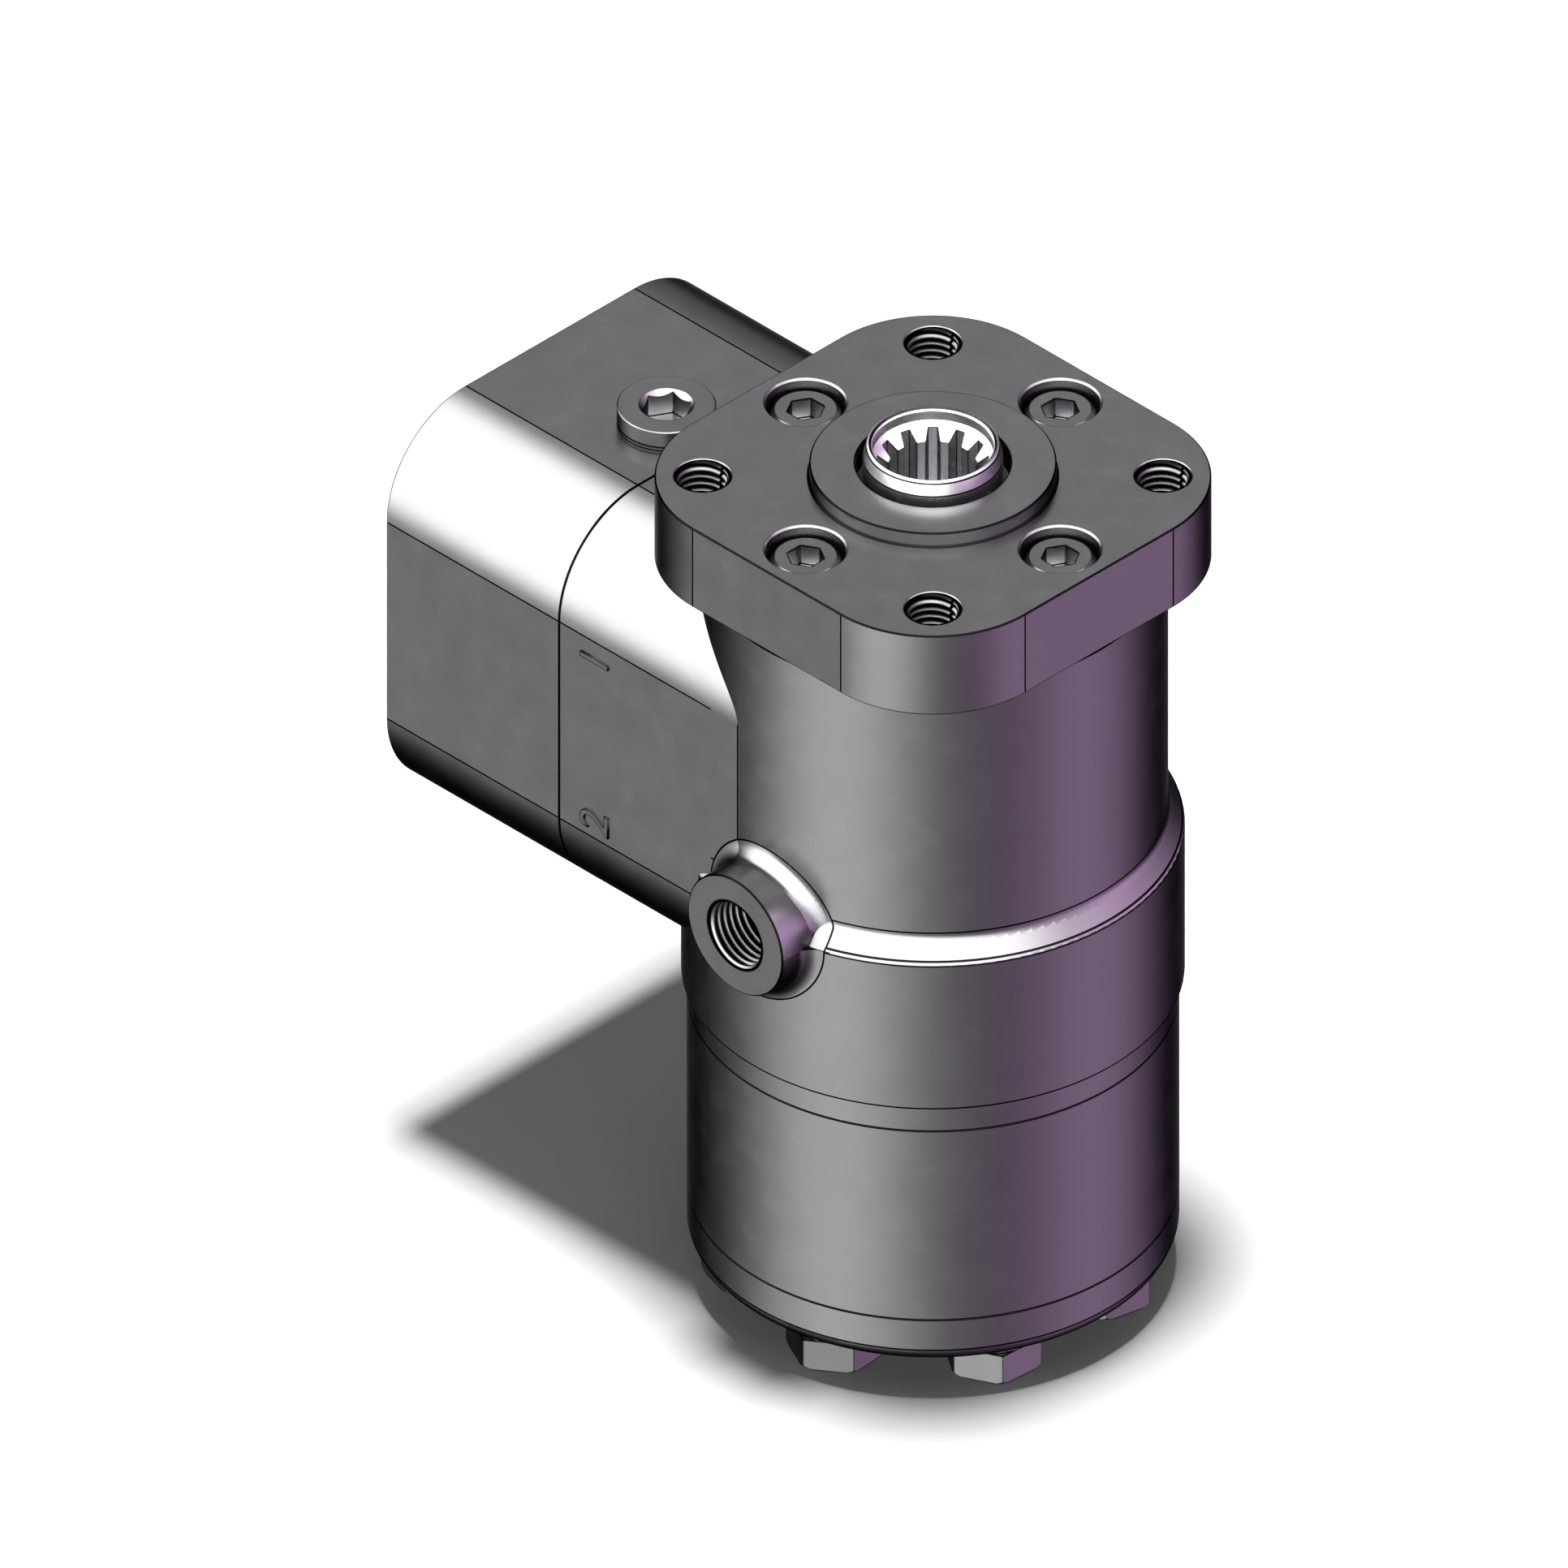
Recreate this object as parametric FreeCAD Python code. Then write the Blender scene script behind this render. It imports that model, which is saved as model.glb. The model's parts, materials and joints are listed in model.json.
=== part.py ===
import FreeCAD
import Part
import math
import os

# Orbital hydraulic steering unit, in millimetres.
# Origin: on the shaft axis, in the mounting flange's top face.
# +Z points out of the flange along the shaft, +Y towards the ports, the side boss points to -X.

# Clearances, the edge of every thread's tip, how far a cutting shape runs past what it cuts,
# and how near counts as touching when edges are picked
RUN_FIT = 0.03
SEAT_GAP = 0.05
SEAL_GAP = 0.05
THREAD_TIP_EDGE = 0.9
OVERRUN = 1.0
NEAR = 1e-3

# Input spline and the spool's neck
SPLINE_TEETH = 12
SPLINE_MAJOR_R = 10.0
SPLINE_TOOTH_H = 1.9
SPLINE_BOTTOM_W = 1.76
SPLINE_MOUTH_W = 2.54
SPLINE_END_Z = -16.0
SPLINE_PHASE = 15.0
NECK_TOP_Z = 7.1
NECK_STRAIGHT_Z = 4.2
NECK_BORE_Z = 4.6
NECK_WALL = 1.73
NECK_TAPER = 0.55
NECK_RIM = 0.5
NECK_MOUTH_EDGE = 0.63
NECK_BORE_STEP = 0.87

# Control spool below the neck
SPOOL_SHOULDER = 1.6
SPOOL_WALL = 3.5
SPOOL_END_GAP = 0.2
SPOOL_GROOVE_DEPTH = 1.2
SPOOL_SLOTS = 6
SPOOL_SLOT_W = 3.0
SPOOL_SLOT_LENGTH = 20.0

# Control sleeve
SLEEVE_WALL = 4.77
SLEEVE_END_GAP = 0.1
SLEEVE_GROOVE_DEPTH = 1.0
SLEEVE_HOLE_R = 1.5
SLEEVE_HOLES = 6
LEAD_LIMIT = 10.0

# Cross pin and centring springs, measured down from the sleeve's top
PIN_DROP = 20.6
PIN_R = 4.0
PIN_END_GAP = 0.4
LEAF_DROP = 6.4
LEAF_H = 6.5
LEAF_T = 0.6
LEAF_BOW = 1.1
CURVED_PER_SIDE = 2
BAND_T = 0.7
BAND_OVERLAP = 1.0

# Thrust bearing
RACE_T = 1.0
RACE_ROOM = 0.4
NEEDLE_R = 1.0
NEEDLE_INSET = 0.8
NEEDLES = 16
CAGE_T = 1.2

# Mounting flange
COLUMN_PCD = 82.55
COLUMN_HOLES = 4
COLUMN_THREAD_R = 5.0
COLUMN_MOUTH_EDGE = 0.35
COLUMN_FLOOR = 1.8
FLANGE_MARGIN = 13.0
FLANGE_CORNER_R = 23.4
FLANGE_T = 17.3
FLANGE_EDGE = 0.2
PILOT_R = 22.2
PILOT_H = 3.0
PILOT_EDGE = 0.2
PILOT_ROOT = 0.3

# Seals in the flange, outwards from the neck
NECK_ROOM = 1.45
SEAL_LAND_ROOM = 0.6
DUST_SEAL_W = 3.6
DUST_SEAL_TOP_Z = -2.2
DUST_SEAL_H = 4.0
SHAFT_SEAL_W = 4.9
SHAFT_SEAL_TOP_Z = -8.4
SHAFT_SEAL_H = 5.5

# M8 socket head screws
M8_R = 4.0
M8_HEAD_R = 6.5
M8_HEAD_H = 8.0
M8_HEAD_EDGE = 0.9
M8_SOCKET_AF = 6.0
M8_SOCKET_DEPTH = 4.0
TAP_EXTRA = 2.0
FLANGE_SCREWS = 4
FLANGE_SCREW_INSET = 9.9
FLANGE_SCREW_SUNK = 1.5
FLANGE_SCREW_ROOM = 0.75
FLANGE_SCREW_GRIP = 14.2
FLANGE_BORE_EDGE = 0.35

# Gerotor set
RING_LOBES = 7
LOBE_PITCH_R = 29.5
LOBE_R = 7.5
ECCENTRICITY = 3.0
ROTOR_POINTS_PER_LOBE = 20
TOOTH_GAP = 0.06
POCKET_GAP = 0.12
GEAR_T = 41.5
ROTOR_SIDE_GAP = 0.03

# End bolts, M10 hexagon head, and the stack that they hold
BOLT_PITCH_R = 32.5
BOLT_R = 5.0
BOLT_ROOM = 0.3
BOLT_THREAD_DEPTH = 20.0
BOLT_AF = 16.0
BOLT_HEAD_H = 6.4
BOLT_HEAD_EDGE = 0.7
BOLT_HEAD_TURN = -8.2
WASHER_R = 8.25
WASHER_T = 1.5
STACK_RIM = 11.7
STACK_EDGE = 0.15
PLATE_T = 5.4
PLATE_HOLE_ROOM = 1.8
COVER_T = 9.6
COVER_EDGE_R = 3.0
FEED_R = 2.5
FEED_SLANT_R = 2.0
FEED_INSET = 2.92
FEED_DEPTH = 12.0
FEED_RISE = 16.4

# Spline between the rotor and the cardan shaft
DRIVE_TEETH = 12
DRIVE_MAJOR_R = 11.4
DRIVE_TOOTH_H = 1.8
DRIVE_BOTTOM_W = 2.0
DRIVE_MOUTH_W = 3.0
DRIVE_GAP = 0.35

# Cardan shaft and spacer
FORK_ROOM = 1.4
FORK_ABOVE = 5.8
FORK_BELOW = 15.0
FORK_SLOT_GAP = 0.1
FORK_SLOT_SPARE = 0.7
FORK_EDGE = 0.9
FORK_TOP_ROOM = 1.7
CARDAN_NECK_R = 6.6
CARDAN_HEAD_HALF = 5.0
CARDAN_TAPER = 8.0
CARDAN_TIP_STEP = 1.3
CARDAN_TIP_LENGTH = 2.0
SPACER_GAP = 0.6

# Housing
COLLAR_STEP = 1.0
COLLAR_RISE = 3.0
COLLAR_H = 31.7
SHOULDER_H = 4.4
SHOULDER_ROOT_R = 2.0
SHOULDER_EDGE_R = 1.0
COLLAR_CHAMFER = 0.15
HOUSING_FOOT = 6.2
BORE_GROOVE_DEPTH = 2.5
BORE_GROOVE_W = 5.0

# Block behind the housing, shared by the housing and the valve block
BLOCK_HALF = 41.4
BLOCK_DROP = 0.8
BLOCK_CORNER_R = 20.0
BLOCK_EDGE = 0.2
BLOCK_TOP_MARGIN = 24.0
BLOCK_LOW_MARGIN = 23.9
PARTING_Y = 53.4
VALVE_BLOCK_T = 43.9

# Ports in the valve block's end face: two columns and two rows
PORT_X = 16.0
PORT_ROW_GAP = 35.2
PORT_R = 9.0
PORT_MOUTH = 0.6
PORT_DEPTH = 14.0
GALLERY_R = 4.5
GALLERY_TURN_Y = 30.0
GALLERY_LEG_R = 3.0
GALLERY_SPREAD = 0.6

# Grooves in the housing's bore, measured down from the housing's top
TANK_GROOVE_DROP = 17.7
PUMP_GROOVE_DROP = 32.7
LEFT_GROOVE_DROP = 48.7
RIGHT_GROOVE_DROP = 62.7

# Block screws
BLOCK_SCREW_INSET = 12.4
BLOCK_SCREW_ROOM = 0.5
BLOCK_SCREW_SUNK = 0.7
BLOCK_SCREW_GRIP = 14.8

# Side boss
BOSS_ABOVE_END = 31.5
BOSS_R = 12.0
BOSS_LENGTH = 8.8
BOSS_ROOT_R = 3.0
BOSS_THREAD_R = 7.0
BOSS_THREAD_DEPTH = 13.0
BOSS_EDGE = 0.2
BOSS_DRILL_R = 2.5
BOSS_SUNK = 5.0

# Face seals
SEAL_W = 1.8
SEAL_H = 1.5
SEAL_EDGE = 0.45
FLANGE_SEAL_ROOM = 5.3
STACK_SEAL_INSET = 3.7
PORT_SEAL_ROOM = 0.2

# Check valve in the pump gallery of the housing
CHECK_SEAT_LEDGE = 1.5
CHECK_SEAT_WALL = 3.5
CHECK_SEAT_LENGTH = 6.0
CHECK_BALL_ROOM = 0.6
CHECK_LIFT = 2.5
CHECK_PIN_R = 1.0
CHECK_PIN_END = 2.0

# Relief valve under the plug
RELIEF_X = -4.0
RELIEF_BEHIND_PARTING = 10.2
PLUG_R = 8.95
PLUG_H = 3.3
PLUG_WASHER_T = 0.7
PLUG_THREAD_R = 7.0
PLUG_THREAD_LENGTH = 9.5
PLUG_SOCKET_AF = 8.0
PLUG_SOCKET_DEPTH = 5.0
PLUG_SOCKET_SINK = 1.0
PLUG_SOCKET_TURN = -30.0
PLUG_EDGE = 0.2
RELIEF_BORE_R = 5.4
ADJUSTER_H = 5.0
ADJUSTER_AF = 5.0
RELIEF_SEAT_DROP = 13.9
RELIEF_SEAT_H = 6.0
SEAT_BORE_R = 2.2
RELIEF_INLET_H = 4.0
VALVE_DRILL_R = 2.2

# Poppets and springs of the relief and shock valves
POPPET_RIM = 1.4
POPPET_H = 3.0
POPPET_STEM_R = 1.6
POPPET_STEM_H = 2.0
WIRE_R = 0.55
SPRING_R = 2.7
SPRING_TURN_PITCH = 2.4

# Shock valves in the valve block's underside
SHOCK_BEHIND_PARTING = 22.6
SHOCK_BORE_R = 4.6
SHOCK_PLUG_WALL = 1.4
SHOCK_PLUG_LENGTH = 5.0
SHOCK_PLUG_AF = 5.0
SHOCK_SEAT_H = 3.0
SHOCK_SEAT_DROP = 1.5

# Radii worked out from the sizes above, outwards from the input spline
SPLINE_MINOR_R = SPLINE_MAJOR_R - SPLINE_TOOTH_H
NECK_BORE_R = SPLINE_MAJOR_R + NECK_BORE_STEP
NECK_R = NECK_BORE_R + NECK_WALL
NECK_TIP_R = NECK_R - NECK_TAPER
NECK_HOLE_R = NECK_R + NECK_ROOM
SEAL_LAND_R = NECK_R + SEAL_LAND_ROOM
SPOOL_R = NECK_R + SPOOL_SHOULDER
SPOOL_BORE_R = SPOOL_R - SPOOL_WALL
SLEEVE_BORE_R = SPOOL_R + RUN_FIT
SLEEVE_R = SLEEVE_BORE_R + SLEEVE_WALL
HOUSING_BORE_R = SLEEVE_R + RUN_FIT
RACE_INNER_R = NECK_R + RACE_ROOM
RACE_OUTER_R = SLEEVE_R - RACE_ROOM
FLANGE_SEAL_R = HOUSING_BORE_R + SEAL_W / 2 + FLANGE_SEAL_ROOM
FORK_R = SPOOL_BORE_R - FORK_ROOM
DRIVE_MINOR_R = DRIVE_MAJOR_R - DRIVE_TOOTH_H
PLATE_HOLE_R = DRIVE_MAJOR_R + PLATE_HOLE_ROOM
POCKET_R = LOBE_PITCH_R + 2 * ECCENTRICITY - LOBE_R + POCKET_GAP
FEED_PITCH_R = POCKET_R - FEED_INSET
BOLT_HOLE_R = BOLT_R + BOLT_ROOM
STACK_R = BOLT_PITCH_R + STACK_RIM
STACK_SEAL_R = STACK_R - STACK_SEAL_INSET
COLLAR_R = STACK_R + COLLAR_STEP
BODY_R = COLLAR_R - COLLAR_RISE
FLANGE_HALF = COLUMN_PCD / 2 * math.sqrt(0.5) + FLANGE_MARGIN
FLANGE_SCREW_PITCH_R = FLANGE_HALF - FLANGE_SCREW_INSET
FLANGE_BORE_R = M8_HEAD_R + FLANGE_SCREW_ROOM
BLOCK_SCREW_X = BLOCK_HALF - BLOCK_SCREW_INSET
BLOCK_BORE_R = M8_HEAD_R + BLOCK_SCREW_ROOM
BOSS_FACE_X = -BLOCK_HALF - BOSS_LENGTH
CHECK_SEAT_BORE_R = GALLERY_R - CHECK_SEAT_LEDGE
CHECK_SEAT_R = CHECK_SEAT_BORE_R + CHECK_SEAT_WALL
PORT_SEAL_R = CHECK_SEAT_R + SEAL_W / 2 + PORT_SEAL_ROOM
CHECK_BALL_R = GALLERY_R - CHECK_BALL_ROOM
POPPET_R = SEAT_BORE_R + POPPET_RIM
SHOCK_PLUG_R = SHOCK_BORE_R + SHOCK_PLUG_WALL

# Heights worked out from the flange's top face downwards
SLEEVE_TOP_Z = -FLANGE_T - 2 * RACE_T - 2 * NEEDLE_R - 2 * SEAT_GAP
LEAF_Z = SLEEVE_TOP_Z - LEAF_DROP
PIN_Z = SLEEVE_TOP_Z - PIN_DROP
SPOOL_BORE_TOP_Z = PIN_Z + FORK_ABOVE + FORK_TOP_ROOM
TANK_GROOVE_Z = -FLANGE_T - TANK_GROOVE_DROP
PUMP_GROOVE_Z = -FLANGE_T - PUMP_GROOVE_DROP
LEFT_GROOVE_Z = -FLANGE_T - LEFT_GROOVE_DROP
RIGHT_GROOVE_Z = -FLANGE_T - RIGHT_GROOVE_DROP
BLOCK_TOP_Z = -FLANGE_T - BLOCK_DROP
PORT_UPPER_Z = BLOCK_TOP_Z - BLOCK_TOP_MARGIN
PORT_LOWER_Z = PORT_UPPER_Z - PORT_ROW_GAP
BLOCK_LOW_Z = PORT_LOWER_Z - BLOCK_LOW_MARGIN
HOUSING_END_Z = BLOCK_LOW_Z - HOUSING_FOOT
COLLAR_Z = HOUSING_END_Z + COLLAR_H
BODY_END_Z = COLLAR_Z + SHOULDER_H
BOSS_Z = HOUSING_END_Z + BOSS_ABOVE_END
SLEEVE_END_Z = HOUSING_END_Z + SLEEVE_END_GAP
SPOOL_END_Z = HOUSING_END_Z + SPOOL_END_GAP
FEED_BORE_Z = HOUSING_END_Z + FEED_RISE
PLATE_END_Z = HOUSING_END_Z - PLATE_T
GEAR_END_Z = PLATE_END_Z - GEAR_T
COVER_END_Z = GEAR_END_Z - COVER_T
ROTOR_MID_Z = (PLATE_END_Z + GEAR_END_Z) / 2
FLANGE_SCREW_SEAT_Z = -FLANGE_SCREW_SUNK - M8_HEAD_H
ADJUSTER_TOP_Z = BLOCK_TOP_Z - PLUG_THREAD_LENGTH - TAP_EXTRA
RELIEF_SEAT_TOP_Z = PORT_UPPER_Z - RELIEF_SEAT_DROP
RELIEF_INLET_Z = RELIEF_SEAT_TOP_Z - RELIEF_SEAT_H - RELIEF_INLET_H
SHOCK_SEAT_TOP_Z = PORT_LOWER_Z - GALLERY_R - SHOCK_SEAT_DROP

# Depths and other values worked out
BLOCK_END_Y = PARTING_Y + VALVE_BLOCK_T
BLOCK_SCREW_SEAT_Y = BLOCK_END_Y - M8_HEAD_H - BLOCK_SCREW_SUNK
RELIEF_Y = PARTING_Y + RELIEF_BEHIND_PARTING
SHOCK_Y = PARTING_Y + SHOCK_BEHIND_PARTING
NEEDLE_LENGTH = RACE_OUTER_R - RACE_INNER_R - 2 * NEEDLE_INSET
FLANGE_SCREW_LENGTH = FLANGE_T + FLANGE_SCREW_SEAT_Z + FLANGE_SCREW_GRIP
BLOCK_SCREW_LENGTH = BLOCK_SCREW_SEAT_Y - PARTING_Y + BLOCK_SCREW_GRIP
ROTOR_LOBES = RING_LOBES - 1
CARDAN_LENGTH = math.hypot(PIN_Z - ROTOR_MID_Z, ECCENTRICITY)
CARDAN_TILT = math.degrees(math.atan2(ECCENTRICITY, PIN_Z - ROTOR_MID_Z))
BLOCK_SCREW_ROWS = (BLOCK_TOP_Z - BLOCK_SCREW_INSET, BLOCK_LOW_Z + BLOCK_SCREW_INSET)
SIDES = (-1, 1)


def vec(x, y, z):
    return FreeCAD.Vector(x, y, z)


ORIGIN = vec(0, 0, 0)
X_AXIS = vec(1, 0, 0)
Y_AXIS = vec(0, 1, 0)
Z_AXIS = vec(0, 0, 1)


# Basic shapes


def cylinder(radius, z_low, z_high, x=0.0, y=0.0):
    return Part.makeCylinder(radius, z_high - z_low, vec(x, y, z_low), Z_AXIS)


def drill(radius, start, end):
    """Cylinder from one point to another."""
    run = end - start
    return Part.makeCylinder(radius, run.Length, start, run)


def cone(r_low, r_high, z_low, z_high, x=0.0, y=0.0):
    return Part.makeCone(r_low, r_high, z_high - z_low, vec(x, y, z_low), Z_AXIS)


def tube(r_in, r_out, z_low, z_high, x=0.0, y=0.0):
    return cylinder(r_out, z_low, z_high, x, y).cut(cylinder(r_in, z_low, z_high, x, y))


def revolve(outline):
    """Solid of revolution about Z from a closed outline of (radius, z) points."""
    points = [vec(r, 0, z) for r, z in outline]
    face = Part.Face(Part.makePolygon(points + points[:1]))
    return face.revolve(ORIGIN, Z_AXIS, 360)


def chamfered_disc(radius, z_low, z_high, low_edge, high_edge):
    return revolve([
        (0, z_low),
        (radius - low_edge, z_low),
        (radius, z_low + low_edge),
        (radius, z_high - high_edge),
        (radius - high_edge, z_high),
        (0, z_high),
    ])


def hexagon(across_flats, z_low, z_high, turn=0.0):
    """Hexagonal prism with a corner at the angle turn."""
    corner_r = across_flats / math.sqrt(3)
    corners = [polar(corner_r, turn + 60 * k, z_low) for k in range(6)]
    face = Part.Face(Part.makePolygon(corners + corners[:1]))
    return face.extrude(vec(0, 0, z_high - z_low))


def polar(radius, degrees, z=0.0):
    angle = math.radians(degrees)
    return vec(radius * math.cos(angle), radius * math.sin(angle), z)


def around(shape, count, first=0.0):
    """Copies of a shape turned evenly about Z."""
    copies = []
    for k in range(count):
        copy = shape.copy()
        copy.rotate(ORIGIN, Z_AXIS, first + 360.0 * k / count)
        copies.append(copy)
    return copies


def moved(shape, offset):
    copy = shape.copy()
    copy.translate(offset)
    return copy


def aimed(shape, direction, place):
    """Shape drawn along +Z, turned to point along direction and set at place."""
    copy = shape.copy()
    turn = FreeCAD.Placement(place, FreeCAD.Rotation(Z_AXIS, direction))
    copy.Placement = turn.multiply(copy.Placement)
    return copy


def rounded_plate(half_x, low, high, radius):
    """Face in the XY plane: a rectangle from -half_x to half_x and low to high with round corners."""
    corners = (
        (half_x - radius, high - radius, 0),
        (-half_x + radius, high - radius, 90),
        (-half_x + radius, low + radius, 180),
        (half_x - radius, low + radius, 270),
    )
    arcs = []
    for x, y, first in corners:
        circle = Part.Circle(vec(x, y, 0), Z_AXIS, radius)
        arcs.append(Part.Arc(circle, math.radians(first), math.radians(first + 90)).toShape())
    edges = []
    for k, arc in enumerate(arcs):
        edges.append(arc)
        start = arc.Vertexes[-1].Point
        end = arcs[(k + 1) % 4].Vertexes[0].Point
        edges.append(Part.makeLine(start, end))
    return Part.Face(Part.Wire(edges))


def edges_at(shape, axis, value):
    """Edges that lie wholly in the plane where the named coordinate has a value."""
    found = []
    for edge in shape.Edges:
        box = edge.BoundBox
        low = getattr(box, axis + "Min")
        high = getattr(box, axis + "Max")
        if abs(low - value) < NEAR and abs(high - value) < NEAR:
            found.append(edge)
    return found


def spline_grooves(count, phase, reach_in, minor_r, major_r, mouth_w, bottom_w, z_low, z_high):
    """Tapered keys that stand outwards from reach_in, as wide as stated at the two radii."""
    slope = (mouth_w - bottom_w) / (major_r - minor_r)
    half_in = (mouth_w + slope * (minor_r - reach_in)) / 2
    half_out = bottom_w / 2
    corners = [
        vec(reach_in, -half_in, z_low),
        vec(major_r, -half_out, z_low),
        vec(major_r, half_out, z_low),
        vec(reach_in, half_in, z_low),
    ]
    key = Part.Face(Part.makePolygon(corners + corners[:1])).extrude(vec(0, 0, z_high - z_low))
    return around(key, count, phase)


def seal_ring(radius, z_low):
    """Seal ring squeezed in its groove, eight-sided in section, resting at z_low."""
    half = SEAL_W / 2
    top = z_low + SEAL_H
    return revolve([
        (radius - half + SEAL_EDGE, z_low),
        (radius + half - SEAL_EDGE, z_low),
        (radius + half, z_low + SEAL_EDGE),
        (radius + half, top - SEAL_EDGE),
        (radius + half - SEAL_EDGE, top),
        (radius - half + SEAL_EDGE, top),
        (radius - half, top - SEAL_EDGE),
        (radius - half, z_low + SEAL_EDGE),
    ])


def seal_groove(radius, z_low):
    """Groove open at its top, for a seal ring that rests at z_low."""
    half = SEAL_W / 2 + SEAL_GAP
    return tube(radius - half, radius + half, z_low - SEAL_GAP, z_low + SEAL_H)


def seal_groove_above(radius, z_low):
    """Groove open at z_low, for a seal ring that rests on the face below."""
    half = SEAL_W / 2 + SEAL_GAP
    return tube(radius - half, radius + half, z_low, z_low + SEAL_H + SEAL_GAP)


def coil_spring(z_low, z_high):
    """Coil spring along Z between two heights, six-sided in section."""
    turn_low = z_low + WIRE_R
    height = z_high - z_low - 2 * WIRE_R
    turns = max(2, round(height / SPRING_TURN_PITCH))
    helix = Part.makeHelix(height / turns, height, SPRING_R)
    section = Part.makePolygon([polar(WIRE_R, 60 * k) for k in range(7)])
    section.rotate(ORIGIN, X_AXIS, 90)
    section.translate(vec(SPRING_R, 0, 0))
    spring = Part.Wire(helix).makePipeShell([Part.Wire(section)], True, True)
    return moved(spring, vec(0, 0, turn_low))


def socket_screw(length):
    """M8 socket head cap screw: head upwards from z = 0, shank downwards."""
    head = chamfered_disc(M8_HEAD_R, 0, M8_HEAD_H, 0, M8_HEAD_EDGE)
    shank = chamfered_disc(M8_R - SEAT_GAP, -length, 0, THREAD_TIP_EDGE, 0)
    socket = hexagon(M8_SOCKET_AF, M8_HEAD_H - M8_SOCKET_DEPTH, M8_HEAD_H)
    return head.fuse(shank).cut(socket)


# Flange, seals and thrust bearing


def mounting_flange():
    plate = rounded_plate(FLANGE_HALF, -FLANGE_HALF, FLANGE_HALF, FLANGE_CORNER_R)
    body = moved(plate, vec(0, 0, -FLANGE_T)).extrude(vec(0, 0, FLANGE_T))
    body = body.makeChamfer(FLANGE_EDGE, edges_at(body, "Z", 0) + edges_at(body, "Z", -FLANGE_T))
    body = body.fuse(pilot())
    hole = cylinder(COLUMN_THREAD_R, COLUMN_FLOOR - FLANGE_T, 0, COLUMN_PCD / 2)
    mouth = cone(COLUMN_THREAD_R, COLUMN_THREAD_R + COLUMN_MOUTH_EDGE, -COLUMN_MOUTH_EDGE, 0, COLUMN_PCD / 2)
    cuts = around(hole.fuse(mouth), COLUMN_HOLES, 45)
    counterbore = cylinder(FLANGE_BORE_R, FLANGE_SCREW_SEAT_Z, 0, FLANGE_SCREW_PITCH_R)
    bore_mouth = cone(FLANGE_BORE_R, FLANGE_BORE_R + FLANGE_BORE_EDGE, -FLANGE_BORE_EDGE, 0,
                      FLANGE_SCREW_PITCH_R)
    through = cylinder(M8_R + 2 * SEAT_GAP, -FLANGE_T, 0, FLANGE_SCREW_PITCH_R)
    cuts += around(counterbore.fuse(bore_mouth).fuse(through), FLANGE_SCREWS)
    cuts.append(cylinder(NECK_HOLE_R, DUST_SEAL_TOP_Z - DUST_SEAL_H, PILOT_H))
    cuts.append(cylinder(SEAL_LAND_R, -FLANGE_T, PILOT_H))
    for seal_r, top, height in seal_places():
        cuts.append(cylinder(seal_r + SEAL_GAP, top - height - SEAL_GAP, top + SEAL_GAP))
    return body.cut(cuts)


def pilot():
    """Round spigot that centres the column, bevelled where it meets the flange's face."""
    return revolve([
        (0, -OVERRUN),
        (PILOT_R + PILOT_ROOT, -OVERRUN),
        (PILOT_R + PILOT_ROOT, 0),
        (PILOT_R, PILOT_ROOT),
        (PILOT_R, PILOT_H - PILOT_EDGE),
        (PILOT_R - PILOT_EDGE, PILOT_H),
        (0, PILOT_H),
    ])


def seal_places():
    """Outer radius, top and height of the two seals round the spool's neck."""
    dust = (NECK_R + DUST_SEAL_W, DUST_SEAL_TOP_Z, DUST_SEAL_H)
    shaft = (NECK_R + SHAFT_SEAL_W, SHAFT_SEAL_TOP_Z, SHAFT_SEAL_H)
    return dust, shaft


def lip_seal(outer_r, top, height):
    """Seal ring with a sloping lip that points up to the neck."""
    lip_r = NECK_R + SEAL_GAP
    back_r = (lip_r + outer_r) / 2
    return revolve([
        (back_r, top - height),
        (outer_r, top - height),
        (outer_r, top),
        (back_r, top),
        (lip_r, top - height / 4),
        (lip_r, top - height / 2),
    ])


def thrust_race(z_low):
    return tube(RACE_INNER_R, RACE_OUTER_R, z_low, z_low + RACE_T)


def bearing_mid():
    """Height and radius of the needles' centres."""
    z = -FLANGE_T - RACE_T - SEAT_GAP - NEEDLE_R
    return z, (RACE_INNER_R + RACE_OUTER_R) / 2


def needles():
    z, mid_r = bearing_mid()
    inner = vec(mid_r - NEEDLE_LENGTH / 2, 0, z)
    outer = vec(mid_r + NEEDLE_LENGTH / 2, 0, z)
    return Part.makeCompound(around(drill(NEEDLE_R, inner, outer), NEEDLES))


def needle_cage():
    z, mid_r = bearing_mid()
    ring = tube(RACE_INNER_R + SEAT_GAP, RACE_OUTER_R - SEAT_GAP, z - CAGE_T / 2, z + CAGE_T / 2)
    half = NEEDLE_LENGTH / 2 + SEAT_GAP
    width = NEEDLE_R + SEAT_GAP
    pocket = Part.makeBox(2 * half, 2 * width, CAGE_T, vec(mid_r - half, -width, z - CAGE_T / 2))
    return ring.cut(around(pocket, NEEDLES))


# Spool, sleeve, cross pin and springs


def leaf_reach():
    """Half the thickness of the whole spring pack at its middle."""
    return LEAF_T + LEAF_BOW + CURVED_PER_SIDE * LEAF_T


def leaf_half_length():
    return SLEEVE_R - BAND_T - 4 * SEAT_GAP


def spring_window(half_length):
    half_w = leaf_reach() + 2 * SEAT_GAP
    half_h = LEAF_H / 2 + 2 * SEAT_GAP
    corner = vec(-half_length, -half_w, LEAF_Z - half_h)
    return Part.makeBox(2 * half_length, 2 * half_w, 2 * half_h, corner)


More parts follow.
